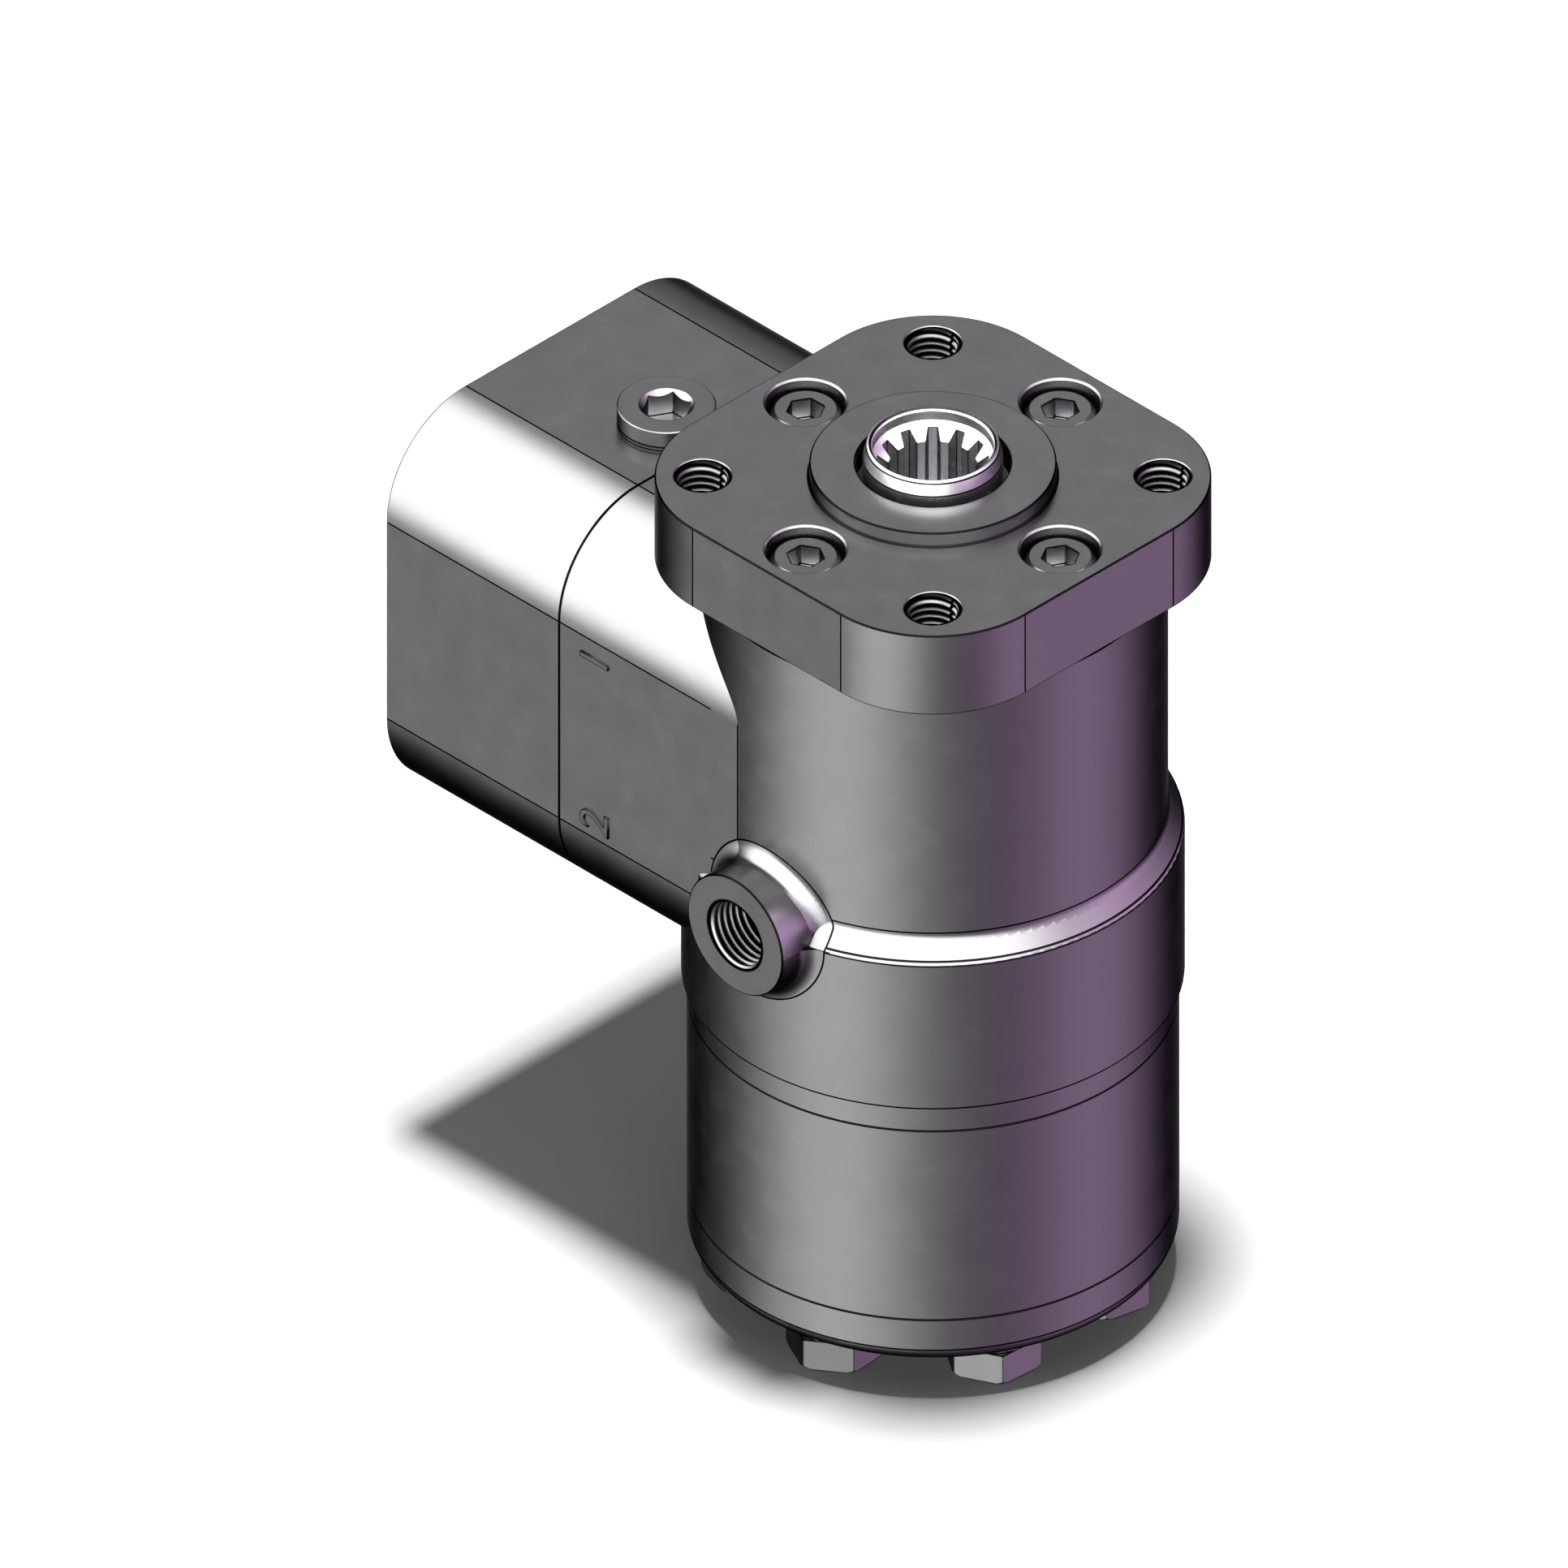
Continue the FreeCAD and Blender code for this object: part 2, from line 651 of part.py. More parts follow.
def control_spool():
    shoulder_z = SLEEVE_TOP_Z - NECK_RIM
    body = revolve([
        (0, SPOOL_END_Z),
        (SPOOL_R, SPOOL_END_Z),
        (SPOOL_R, shoulder_z - (SPOOL_R - NECK_R)),
        (NECK_R, shoulder_z),
        (NECK_R, NECK_STRAIGHT_Z),
        (NECK_TIP_R, NECK_TOP_Z - NECK_RIM),
        (NECK_TIP_R - NECK_RIM / 3, NECK_TOP_Z - NECK_RIM / 3),
        (NECK_TIP_R - NECK_RIM, NECK_TOP_Z),
        (0, NECK_TOP_Z),
    ])
    spline_top = NECK_BORE_Z - (NECK_BORE_R - SPLINE_MINOR_R)
    cuts = [
        cone(NECK_BORE_R, NECK_BORE_R + NECK_MOUTH_EDGE, NECK_TOP_Z - NECK_MOUTH_EDGE, NECK_TOP_Z),
        cylinder(NECK_BORE_R, NECK_BORE_Z, NECK_TOP_Z),
        cone(SPLINE_MINOR_R, NECK_BORE_R, spline_top, NECK_BORE_Z),
        cylinder(SPLINE_MINOR_R, SPLINE_END_Z, NECK_BORE_Z),
        cylinder(SPOOL_BORE_R, SPOOL_END_Z, SPOOL_BORE_TOP_Z),
        spring_window(SPOOL_R + OVERRUN),
        spool_pin_holes(),
    ]
    cuts += spline_grooves(SPLINE_TEETH, SPLINE_PHASE, SPLINE_MINOR_R - OVERRUN, SPLINE_MINOR_R,
                           SPLINE_MAJOR_R, SPLINE_MOUTH_W, SPLINE_BOTTOM_W, SPLINE_END_Z, NECK_BORE_Z)
    cuts.append(bore_ring(SPOOL_R - SPOOL_GROOVE_DEPTH, SPOOL_R + OVERRUN, PUMP_GROOVE_Z))
    cuts += spool_slots()
    return body.cut(cuts)


def spool_pin_holes():
    """Holes wide enough for the pin to swing by the lead angle each way."""
    swing = SPOOL_R * math.sin(math.radians(LEAD_LIMIT))
    reach = SPOOL_R + OVERRUN
    return drill(PIN_R + swing + 2 * SEAT_GAP, vec(0, -reach, PIN_Z), vec(0, reach, PIN_Z))


def spool_slots():
    """Metering slots along the outside of the spool, below the pump groove."""
    low = (LEFT_GROOVE_Z + RIGHT_GROOVE_Z) / 2 - SPOOL_SLOT_LENGTH / 2
    corner = vec(SPOOL_R - SPOOL_GROOVE_DEPTH, -SPOOL_SLOT_W / 2, low)
    slot = Part.makeBox(SPOOL_GROOVE_DEPTH + OVERRUN, SPOOL_SLOT_W, SPOOL_SLOT_LENGTH, corner)
    return around(slot, SPOOL_SLOTS)


def bore_ring(r_in, r_out, z_mid):
    return tube(r_in, r_out, z_mid - BORE_GROOVE_W / 2, z_mid + BORE_GROOVE_W / 2)


def control_sleeve():
    body = tube(SLEEVE_BORE_R, SLEEVE_R, SLEEVE_END_Z, SLEEVE_TOP_Z)
    reach = SLEEVE_R + OVERRUN
    band_half = LEAF_H / 2 + BAND_OVERLAP
    cuts = [
        spring_window(reach),
        drill(PIN_R + SEAT_GAP, vec(0, -reach, PIN_Z), vec(0, reach, PIN_Z)),
        tube(SLEEVE_R - BAND_T - SEAT_GAP, reach, LEAF_Z - band_half, LEAF_Z + band_half),
    ]
    hole_phase = 360.0 / SLEEVE_HOLES / 2
    for z in (PUMP_GROOVE_Z, LEFT_GROOVE_Z, RIGHT_GROOVE_Z):
        cuts.append(bore_ring(SLEEVE_R - SLEEVE_GROOVE_DEPTH, reach, z))
        hole = drill(SLEEVE_HOLE_R, vec(0, 0, z), vec(reach, 0, z))
        cuts += around(hole, SLEEVE_HOLES, hole_phase)
    return body.cut(cuts)


def spring_band():
    half = LEAF_H / 2 + BAND_OVERLAP - SEAT_GAP
    return tube(SLEEVE_R - BAND_T, SLEEVE_R, LEAF_Z - half, LEAF_Z + half)


def cross_pin():
    half = SLEEVE_R - PIN_END_GAP
    pin = chamfered_disc(PIN_R, -half, half, PIN_END_GAP, PIN_END_GAP)
    return aimed(pin, Y_AXIS, vec(0, 0, PIN_Z))


def flat_springs():
    half = leaf_half_length()
    low = LEAF_Z - LEAF_H / 2
    leaves = [Part.makeBox(2 * half, LEAF_T, LEAF_H, vec(-half, y, low)) for y in (-LEAF_T, 0)]
    return Part.makeCompound(leaves)


def curved_springs():
    """Bowed leaves on both sides of the flat pair, each touching the next at its ends."""
    leaves = []
    for k in range(CURVED_PER_SIDE):
        leaf = bowed_leaf(LEAF_T * (k + 1))
        mirrored = leaf.mirror(ORIGIN, Y_AXIS)
        leaves += [leaf, mirrored]
    return Part.makeCompound(leaves)


def bowed_leaf(y_end):
    half = leaf_half_length()
    low = LEAF_Z - LEAF_H / 2

    def arc(y):
        ends = vec(-half, y, low), vec(half, y, low)
        return Part.Arc(ends[0], vec(0, y + LEAF_BOW, low), ends[1]).toShape()

    inner = arc(y_end)
    outer = arc(y_end + LEAF_T)
    sides = [Part.makeLine(vec(x, y_end, low), vec(x, y_end + LEAF_T, low)) for x in (half, -half)]
    face = Part.Face(Part.Wire([inner, sides[0], outer, sides[1]]))
    return face.extrude(vec(0, 0, LEAF_H))


# Gerotor set: the rotor rolls inside the ring with one lobe fewer


def rotor_outline(offset):
    """Closed curve at a distance inside the path that a ring lobe's centre takes round the rotor."""
    points = []
    count = ROTOR_POINTS_PER_LOBE * ROTOR_LOBES
    for k in range(count):
        t = 2 * math.pi * k / count
        path = vec(LOBE_PITCH_R * math.cos(t) + ECCENTRICITY * math.cos(RING_LOBES * t),
                   LOBE_PITCH_R * math.sin(t) + ECCENTRICITY * math.sin(RING_LOBES * t), 0)
        run_x = -LOBE_PITCH_R * math.sin(t) - RING_LOBES * ECCENTRICITY * math.sin(RING_LOBES * t)
        run_y = LOBE_PITCH_R * math.cos(t) + RING_LOBES * ECCENTRICITY * math.cos(RING_LOBES * t)
        inward = vec(-run_y, run_x, 0).normalize()
        points.append(path + inward * offset)
    curve = Part.BSplineCurve()
    curve.interpolate(points, PeriodicFlag=True)
    return Part.Face(Part.Wire(curve.toShape()))


def rotor():
    low = GEAR_END_Z + ROTOR_SIDE_GAP
    high = PLATE_END_Z - ROTOR_SIDE_GAP
    body = rotor_outline(LOBE_R + TOOTH_GAP)
    body.rotate(ORIGIN, Z_AXIS, 90)
    body.translate(vec(0, 0, low))
    body = body.extrude(vec(0, 0, high - low))
    cuts = [cylinder(DRIVE_MINOR_R, low, high)]
    cuts += spline_grooves(DRIVE_TEETH, 0, DRIVE_MINOR_R - OVERRUN, DRIVE_MINOR_R, DRIVE_MAJOR_R,
                           DRIVE_MOUTH_W, DRIVE_BOTTOM_W, low, high)
    return moved(body.cut(cuts), vec(0, -ECCENTRICITY, 0))


def gear_ring():
    body = chamfered_disc(STACK_R, GEAR_END_Z, PLATE_END_Z, STACK_EDGE, STACK_EDGE)
    lobe = cylinder(LOBE_R, GEAR_END_Z, PLATE_END_Z, LOBE_PITCH_R)
    opening = cylinder(POCKET_R, GEAR_END_Z, PLATE_END_Z).cut(around(lobe, RING_LOBES, 90))
    cuts = [opening]
    cuts += bolt_holes(GEAR_END_Z, PLATE_END_Z, BOLT_HOLE_R)
    cuts.append(seal_groove(STACK_SEAL_R, PLATE_END_Z - SEAL_H))
    cuts.append(seal_groove_above(STACK_SEAL_R, GEAR_END_Z))
    return body.cut(cuts)


def bolt_holes(z_low, z_high, radius):
    return around(cylinder(radius, z_low, z_high, BOLT_PITCH_R), RING_LOBES, 90)


def feed_holes(z_low, z_high):
    """Passages to the seven chambers, half way between the bolts."""
    first = 90 + 180.0 / RING_LOBES
    return around(cylinder(FEED_R, z_low, z_high, FEED_PITCH_R), RING_LOBES, first)


def distributor_plate():
    body = chamfered_disc(STACK_R, PLATE_END_Z, HOUSING_END_Z, STACK_EDGE, STACK_EDGE)
    cuts = bolt_holes(PLATE_END_Z, HOUSING_END_Z, BOLT_HOLE_R)
    cuts += feed_holes(PLATE_END_Z, HOUSING_END_Z)
    cuts.append(cylinder(PLATE_HOLE_R, PLATE_END_Z, HOUSING_END_Z))
    return body.cut(cuts)


def end_cover():
    body = cylinder(STACK_R, COVER_END_Z, GEAR_END_Z)
    body = body.makeFillet(COVER_EDGE_R, edges_at(body, "Z", COVER_END_Z))
    body = body.makeChamfer(STACK_EDGE, edges_at(body, "Z", GEAR_END_Z))
    return body.cut(bolt_holes(COVER_END_Z, GEAR_END_Z, BOLT_HOLE_R))


def cardan_frame():
    """Placement from the shaft's own frame, pin centre at its origin, to the tilted place."""
    turn = FreeCAD.Rotation(X_AXIS, -CARDAN_TILT)
    return FreeCAD.Placement(vec(0, 0, PIN_Z), turn)


def cardan_shaft():
    head_mid = -CARDAN_LENGTH
    head_top = head_mid + CARDAN_HEAD_HALF
    head_low = head_mid - CARDAN_HEAD_HALF
    root_r = DRIVE_MINOR_R - 2 * DRIVE_GAP
    tip_r = DRIVE_MAJOR_R - DRIVE_GAP
    edge = tip_r - root_r
    body = revolve([
        (0, head_low - CARDAN_TIP_LENGTH),
        (root_r - CARDAN_TIP_STEP, head_low - CARDAN_TIP_LENGTH),
        (root_r, head_low),
        (root_r, head_top),
        (CARDAN_NECK_R, head_top + CARDAN_TAPER),
        (CARDAN_NECK_R, -FORK_BELOW - CARDAN_TAPER),
        (FORK_R, -FORK_BELOW),
        (FORK_R, FORK_ABOVE - FORK_EDGE),
        (FORK_R - FORK_EDGE, FORK_ABOVE),
        (0, FORK_ABOVE),
    ])
    crown = revolve([
        (0, head_low),
        (root_r, head_low),
        (tip_r, head_low + edge),
        (tip_r, head_top - edge),
        (root_r, head_top),
        (0, head_top),
    ])
    mouth_w = DRIVE_MOUTH_W - 2 * DRIVE_GAP
    bottom_w = DRIVE_BOTTOM_W - 2 * DRIVE_GAP
    teeth = spline_grooves(DRIVE_TEETH, 0, root_r - OVERRUN, DRIVE_MINOR_R, DRIVE_MAJOR_R,
                           mouth_w, bottom_w, head_low, head_top)
    body = body.fuse([tooth.common(crown) for tooth in teeth])
    slot_half = PIN_R + FORK_SLOT_GAP
    slot_low = -PIN_R - FORK_SLOT_SPARE
    corner = vec(-slot_half, -2 * FORK_R, slot_low)
    shaft = body.cut(Part.makeBox(2 * slot_half, 4 * FORK_R, FORK_ABOVE - slot_low, corner))
    shaft.Placement = cardan_frame()
    return shaft


def drive_spacer():
    shaft_low = ROTOR_MID_Z - CARDAN_HEAD_HALF - CARDAN_TIP_LENGTH
    top = shaft_low - SPACER_GAP
    low = GEAR_END_Z + SEAT_GAP
    disc = chamfered_disc(DRIVE_MINOR_R - SEAT_GAP, low, top, STACK_EDGE, STACK_EDGE)
    return moved(disc, vec(0, -ECCENTRICITY, 0))


# End bolts


def end_bolts():
    head_top = COVER_END_Z - WASHER_T
    head_low = head_top - BOLT_HEAD_H
    corner_r = BOLT_AF / math.sqrt(3)
    rim = chamfered_disc(corner_r, head_low, head_top, BOLT_HEAD_EDGE, 0)
    head = hexagon(BOLT_AF, head_low, head_top).common(rim)
    tip = HOUSING_END_Z + BOLT_THREAD_DEPTH
    shank = chamfered_disc(BOLT_R - SEAT_GAP, head_top, tip, 0, THREAD_TIP_EDGE)
    bolt = head.fuse(shank)
    bolt.rotate(ORIGIN, Z_AXIS, BOLT_HEAD_TURN)
    return Part.makeCompound(around(moved(bolt, vec(BOLT_PITCH_R, 0, 0)), RING_LOBES, 90))


def bolt_washers():
    low = COVER_END_Z - WASHER_T
    washer = tube(BOLT_HOLE_R, WASHER_R, low, COVER_END_Z, BOLT_PITCH_R)
    return Part.makeCompound(around(washer, RING_LOBES, 90))


# Housing and valve block


def block(y_low, y_high, chamfer_at):
    """Rounded block between two depths, with small chamfers at the named faces."""
    plate = rounded_plate(BLOCK_HALF, BLOCK_LOW_Z, BLOCK_TOP_Z, BLOCK_CORNER_R)
    plate.rotate(ORIGIN, X_AXIS, 90)
    plate.translate(vec(0, y_low, 0))
    body = plate.extrude(vec(0, y_high - y_low, 0))
    for y in chamfer_at:
        body = body.makeChamfer(BLOCK_EDGE, edges_at(body, "Y", y))
    return body


def housing_turning():
    """Turned outside of the housing: body, flared shoulder and collar."""
    slope = 45.0
    edge_z = COLLAR_Z - SHOULDER_EDGE_R * math.tan(math.radians(slope / 2))

    def on_root(turn):
        bend = polar(SHOULDER_ROOT_R, turn)
        return vec(BODY_R + SHOULDER_ROOT_R - bend.x, 0, BODY_END_Z - bend.y)

    def on_edge(turn):
        bend = polar(SHOULDER_EDGE_R, turn)
        return vec(COLLAR_R - SHOULDER_EDGE_R + bend.x, 0, edge_z + bend.y)

    top = vec(BODY_R, 0, -FLANGE_T)
    low_edge = vec(COLLAR_R, 0, HOUSING_END_Z + COLLAR_CHAMFER)
    low_face = vec(COLLAR_R - COLLAR_CHAMFER, 0, HOUSING_END_Z)
    edges = [
        Part.makeLine(vec(0, 0, -FLANGE_T), top),
        Part.makeLine(top, on_root(0)),
        Part.Arc(on_root(0), on_root(slope / 2), on_root(slope)).toShape(),
        Part.makeLine(on_root(slope), on_edge(slope)),
        Part.Arc(on_edge(slope), on_edge(slope / 2), on_edge(0)).toShape(),
        Part.makeLine(on_edge(0), low_edge),
        Part.makeLine(low_edge, low_face),
        Part.makeLine(low_face, vec(0, 0, HOUSING_END_Z)),
        Part.makeLine(vec(0, 0, HOUSING_END_Z), vec(0, 0, -FLANGE_T)),
    ]
    return Part.Face(Part.Wire(edges)).revolve(ORIGIN, Z_AXIS, 360)


def side_boss(base):
    """Boss along -X with a rolling fillet where it leaves the side of a base shape."""
    root = vec(BOSS_SUNK - BLOCK_HALF, 0, BOSS_Z)
    face = vec(BOSS_FACE_X, 0, BOSS_Z)
    joined = base.fuse(drill(BOSS_R, root, face)).removeSplitter()
    joined = joined.makeChamfer(BOSS_EDGE, edges_at(joined, "X", BOSS_FACE_X))
    return joined.makeFillet(BOSS_ROOT_R, boss_root_edges(joined))


def boss_root_edges(joined):
    """Edges where the boss's round side meets what it stands on."""
    found = []
    for edge in joined.Edges:
        middle = edge.valueAt((edge.FirstParameter + edge.LastParameter) / 2)
        points = [middle] + [vertex.Point for vertex in edge.Vertexes]
        on_side = all(abs(math.hypot(p.y, p.z - BOSS_Z) - BOSS_R) < NEAR for p in points)
        if on_side and edge.BoundBox.XMin > BOSS_FACE_X + BOSS_LENGTH / 2:
            found.append(edge)
    return found


def rooted_boss():
    """The boss on the body above the collar's top edge, on the collar below it, and on the block behind."""
    reach = BOSS_R + BOSS_ROOT_R + OVERRUN
    low = BOSS_Z - reach
    high = BOSS_Z + reach
    length = -BOSS_FACE_X
    above = Part.makeBox(length, 2 * reach, high - COLLAR_Z, vec(BOSS_FACE_X, -reach, COLLAR_Z))
    below = Part.makeBox(length, 2 * reach, COLLAR_Z - low, vec(BOSS_FACE_X, -reach, low))
    behind = Part.makeBox(length, reach, high - low, vec(BOSS_FACE_X, 0, low))
    return [
        side_boss(cylinder(BODY_R, low, high)).common(above),
        side_boss(cylinder(COLLAR_R, low, high)).common(below),
        side_boss(block(-reach, PARTING_Y, ())).common(behind),
    ]


def port_places():
    """Column, row and bore groove of the four galleries: pump, tank, left, right."""
    return (
        (-PORT_X, PORT_UPPER_Z, PUMP_GROOVE_Z),
        (PORT_X, PORT_UPPER_Z, TANK_GROOVE_Z),
        (-PORT_X, PORT_LOWER_Z, LEFT_GROOVE_Z),
        (PORT_X, PORT_LOWER_Z, RIGHT_GROOVE_Z),
    )


def housing_galleries():
    cuts = []
    inside = HOUSING_BORE_R + BORE_GROOVE_DEPTH / 2
    for x, z, groove_z in port_places():
        turn_point = vec(x, GALLERY_TURN_Y, z)
        cuts.append(drill(GALLERY_R, turn_point, vec(x, PARTING_Y, z)))
        reach_x = x * GALLERY_SPREAD
        groove_point = vec(reach_x, math.sqrt(inside ** 2 - reach_x ** 2), groove_z)
        cuts.append(drill(GALLERY_LEG_R, turn_point, groove_point))
    relief_turn = vec(RELIEF_X, GALLERY_TURN_Y, RELIEF_INLET_Z)
    cuts.append(drill(VALVE_DRILL_R, relief_turn, vec(RELIEF_X, PARTING_Y, RELIEF_INLET_Z)))
    cuts.append(drill(VALVE_DRILL_R, relief_turn, vec(RELIEF_X, inside, PUMP_GROOVE_Z)))
    return cuts


def housing_feeds():
    """Slanting passages from the bore to the seven chambers."""
    low = HOUSING_END_Z + FEED_DEPTH
    cuts = feed_holes(HOUSING_END_Z, low)
    slant = drill(FEED_SLANT_R, vec(FEED_PITCH_R, 0, low), vec(HOUSING_BORE_R - OVERRUN, 0, FEED_BORE_Z))
    cuts += around(slant, RING_LOBES, 90 + 180.0 / RING_LOBES)
    return cuts


def housing():
    body = housing_turning().fuse(block(0, PARTING_Y, (PARTING_Y,)))
    for piece in rooted_boss():
        body = body.fuse(piece)
    cuts = [cylinder(HOUSING_BORE_R, HOUSING_END_Z, -FLANGE_T)]
    for _x, _z, groove_z in port_places():
        cuts.append(bore_ring(HOUSING_BORE_R - OVERRUN, HOUSING_BORE_R + BORE_GROOVE_DEPTH, groove_z))
    cuts += housing_galleries()
    cuts += housing_feeds()
    cuts += bolt_holes(HOUSING_END_Z, HOUSING_END_Z + BOLT_THREAD_DEPTH + TAP_EXTRA, BOLT_R)
    screw_end_z = FLANGE_SCREW_SEAT_Z - FLANGE_SCREW_LENGTH - TAP_EXTRA
    cuts += around(cylinder(M8_R, screw_end_z, -FLANGE_T, FLANGE_SCREW_PITCH_R), FLANGE_SCREWS)
    cuts.append(seal_groove(FLANGE_SEAL_R, -FLANGE_T - SEAL_H))
    cuts.append(seal_groove_above(STACK_SEAL_R, HOUSING_END_Z))
    tap_end_y = BLOCK_SCREW_SEAT_Y - BLOCK_SCREW_LENGTH - TAP_EXTRA
    for x, z in block_screw_places():
        cuts.append(drill(M8_R, vec(x, tap_end_y, z), vec(x, PARTING_Y, z)))
    cuts += boss_cuts()
    cuts.append(check_seat_pocket())
    cuts.append(check_pin_hole())
    return body.cut(cuts)


def boss_cuts():
    face = vec(BOSS_FACE_X, 0, BOSS_Z)
    floor = vec(BOSS_FACE_X + BOSS_THREAD_DEPTH, 0, BOSS_Z)
    bore = vec(OVERRUN - HOUSING_BORE_R, 0, BOSS_Z)
    return [drill(BOSS_THREAD_R, floor, face), drill(BOSS_DRILL_R, bore, floor)]


def block_screw_places():
    return [(side * BLOCK_SCREW_X, z) for side in SIDES for z in BLOCK_SCREW_ROWS]


def port_cut(x, z):
    """Tapped port with a chamfered mouth, and the gallery behind it."""
    floor_y = BLOCK_END_Y - PORT_DEPTH
    thread = drill(PORT_R, vec(x, floor_y, z), vec(x, BLOCK_END_Y, z))
    mouth = aimed(cone(PORT_R, PORT_R + PORT_MOUTH, -PORT_MOUTH, 0), Y_AXIS, vec(x, BLOCK_END_Y, z))
    gallery = drill(GALLERY_R, vec(x, PARTING_Y, z), vec(x, floor_y, z))
    return [thread, mouth, gallery]


def relief_cuts():
    top = BLOCK_TOP_Z
    seat_low = RELIEF_SEAT_TOP_Z - RELIEF_SEAT_H
    thread_low = top - PLUG_THREAD_LENGTH - TAP_EXTRA
    inlet = vec(RELIEF_X, RELIEF_Y, RELIEF_INLET_Z)
    drain = vec(RELIEF_X, RELIEF_Y, PORT_UPPER_Z)
    return [
        cylinder(PLUG_THREAD_R, thread_low, top, RELIEF_X, RELIEF_Y),
        cylinder(RELIEF_BORE_R, seat_low, top, RELIEF_X, RELIEF_Y),
        cylinder(VALVE_DRILL_R, RELIEF_INLET_Z - VALVE_DRILL_R, seat_low, RELIEF_X, RELIEF_Y),
        drill(VALVE_DRILL_R, vec(RELIEF_X, PARTING_Y, RELIEF_INLET_Z), inlet),
        drill(VALVE_DRILL_R, drain, vec(PORT_X, RELIEF_Y, PORT_UPPER_Z)),
    ]


def shock_cuts():
    cuts = []
    plug_top = BLOCK_LOW_Z + SHOCK_PLUG_LENGTH + SEAT_GAP
    for side in SIDES:
        x = side * PORT_X
        cuts.append(cylinder(SHOCK_PLUG_R, BLOCK_LOW_Z, plug_top, x, SHOCK_Y))
        cuts.append(cylinder(SHOCK_BORE_R, BLOCK_LOW_Z, SHOCK_SEAT_TOP_Z, x, SHOCK_Y))
        cuts.append(cylinder(VALVE_DRILL_R, SHOCK_SEAT_TOP_Z, PORT_LOWER_Z, x, SHOCK_Y))
    return cuts


def valve_block():
    body = block(PARTING_Y, BLOCK_END_Y, (PARTING_Y, BLOCK_END_Y))
    cuts = relief_cuts() + shock_cuts()
    for x, z, _groove_z in port_places():
        cuts += port_cut(x, z)
        groove = seal_groove(PORT_SEAL_R, -SEAL_H)
        cuts.append(aimed(groove, vec(0, -1, 0), vec(x, PARTING_Y, z)))
    for x, z in block_screw_places():
        seat = vec(x, BLOCK_SCREW_SEAT_Y, z)
        cuts.append(drill(BLOCK_BORE_R, seat, vec(x, BLOCK_END_Y, z)))
        cuts.append(drill(M8_R + 2 * SEAT_GAP, vec(x, PARTING_Y, z), seat))
    return body.cut(cuts)


def port_seals():
    seals = []
    for x, z, _groove_z in port_places():
        seals.append(aimed(seal_ring(PORT_SEAL_R, -SEAL_H), vec(0, -1, 0), vec(x, PARTING_Y, z)))
    return Part.makeCompound(seals)


def block_screws():
    screw = socket_screw(BLOCK_SCREW_LENGTH)
    places = [vec(x, BLOCK_SCREW_SEAT_Y, z) for x, z in block_screw_places()]
    return Part.makeCompound([aimed(screw, Y_AXIS, place) for place in places])


def flange_screws():
    seat = vec(FLANGE_SCREW_PITCH_R, 0, FLANGE_SCREW_SEAT_Z)
    screw = moved(socket_screw(FLANGE_SCREW_LENGTH), seat)
    return Part.makeCompound(around(screw, FLANGE_SCREWS))


# Check valve


def check_seat_pocket():
    face = vec(-PORT_X, PARTING_Y, PORT_UPPER_Z)
    return drill(CHECK_SEAT_R + SEAT_GAP, face - vec(0, CHECK_SEAT_LENGTH, 0), face)


def check_ball_y():
    """Where the ball rests on the edge of its seat's bore."""
    back = math.sqrt(CHECK_BALL_R ** 2 - CHECK_SEAT_BORE_R ** 2)
    return PARTING_Y - CHECK_SEAT_LENGTH - back - SEAT_GAP


def check_pin_line(half_length):
    y = check_ball_y() - CHECK_BALL_R - CHECK_LIFT - CHECK_PIN_R - SEAT_GAP
    start = vec(-PORT_X, y, PORT_UPPER_Z - half_length)
    return start, start + vec(0, 0, 2 * half_length)


def check_pin_hole():
    start, end = check_pin_line(GALLERY_R + CHECK_PIN_END + SEAT_GAP)
    return drill(CHECK_PIN_R + SEAT_GAP, start, end)


def check_valve_pin():
    start, end = check_pin_line(GALLERY_R + CHECK_PIN_END)
    return drill(CHECK_PIN_R, start, end)


def check_valve_seat():
    ring = tube(CHECK_SEAT_BORE_R, CHECK_SEAT_R, 0, CHECK_SEAT_LENGTH)
    return aimed(ring, vec(0, -1, 0), vec(-PORT_X, PARTING_Y, PORT_UPPER_Z))


def check_ball():
    return Part.makeSphere(CHECK_BALL_R, vec(-PORT_X, check_ball_y(), PORT_UPPER_Z))


# Relief and shock valves


def relief_plug():
    low = BLOCK_TOP_Z + PLUG_WASHER_T
    top = low + PLUG_H
    head = chamfered_disc(PLUG_R, low, top, 0, PLUG_EDGE)
    thread_low = BLOCK_TOP_Z - PLUG_THREAD_LENGTH
    thread = chamfered_disc(PLUG_THREAD_R - SEAT_GAP, thread_low, low, THREAD_TIP_EDGE, 0)
    socket = hexagon(PLUG_SOCKET_AF, top - PLUG_SOCKET_DEPTH, top, PLUG_SOCKET_TURN)
    flat_r = PLUG_SOCKET_AF / 2
    sink = cone(flat_r, flat_r + PLUG_SOCKET_SINK, top - PLUG_SOCKET_SINK, top)
    return moved(head.fuse(thread).cut([socket, sink]), vec(RELIEF_X, RELIEF_Y, 0))


def relief_washer():
    top = BLOCK_TOP_Z + PLUG_WASHER_T
    return tube(PLUG_THREAD_R + SEAT_GAP, PLUG_R, BLOCK_TOP_Z, top, RELIEF_X, RELIEF_Y)


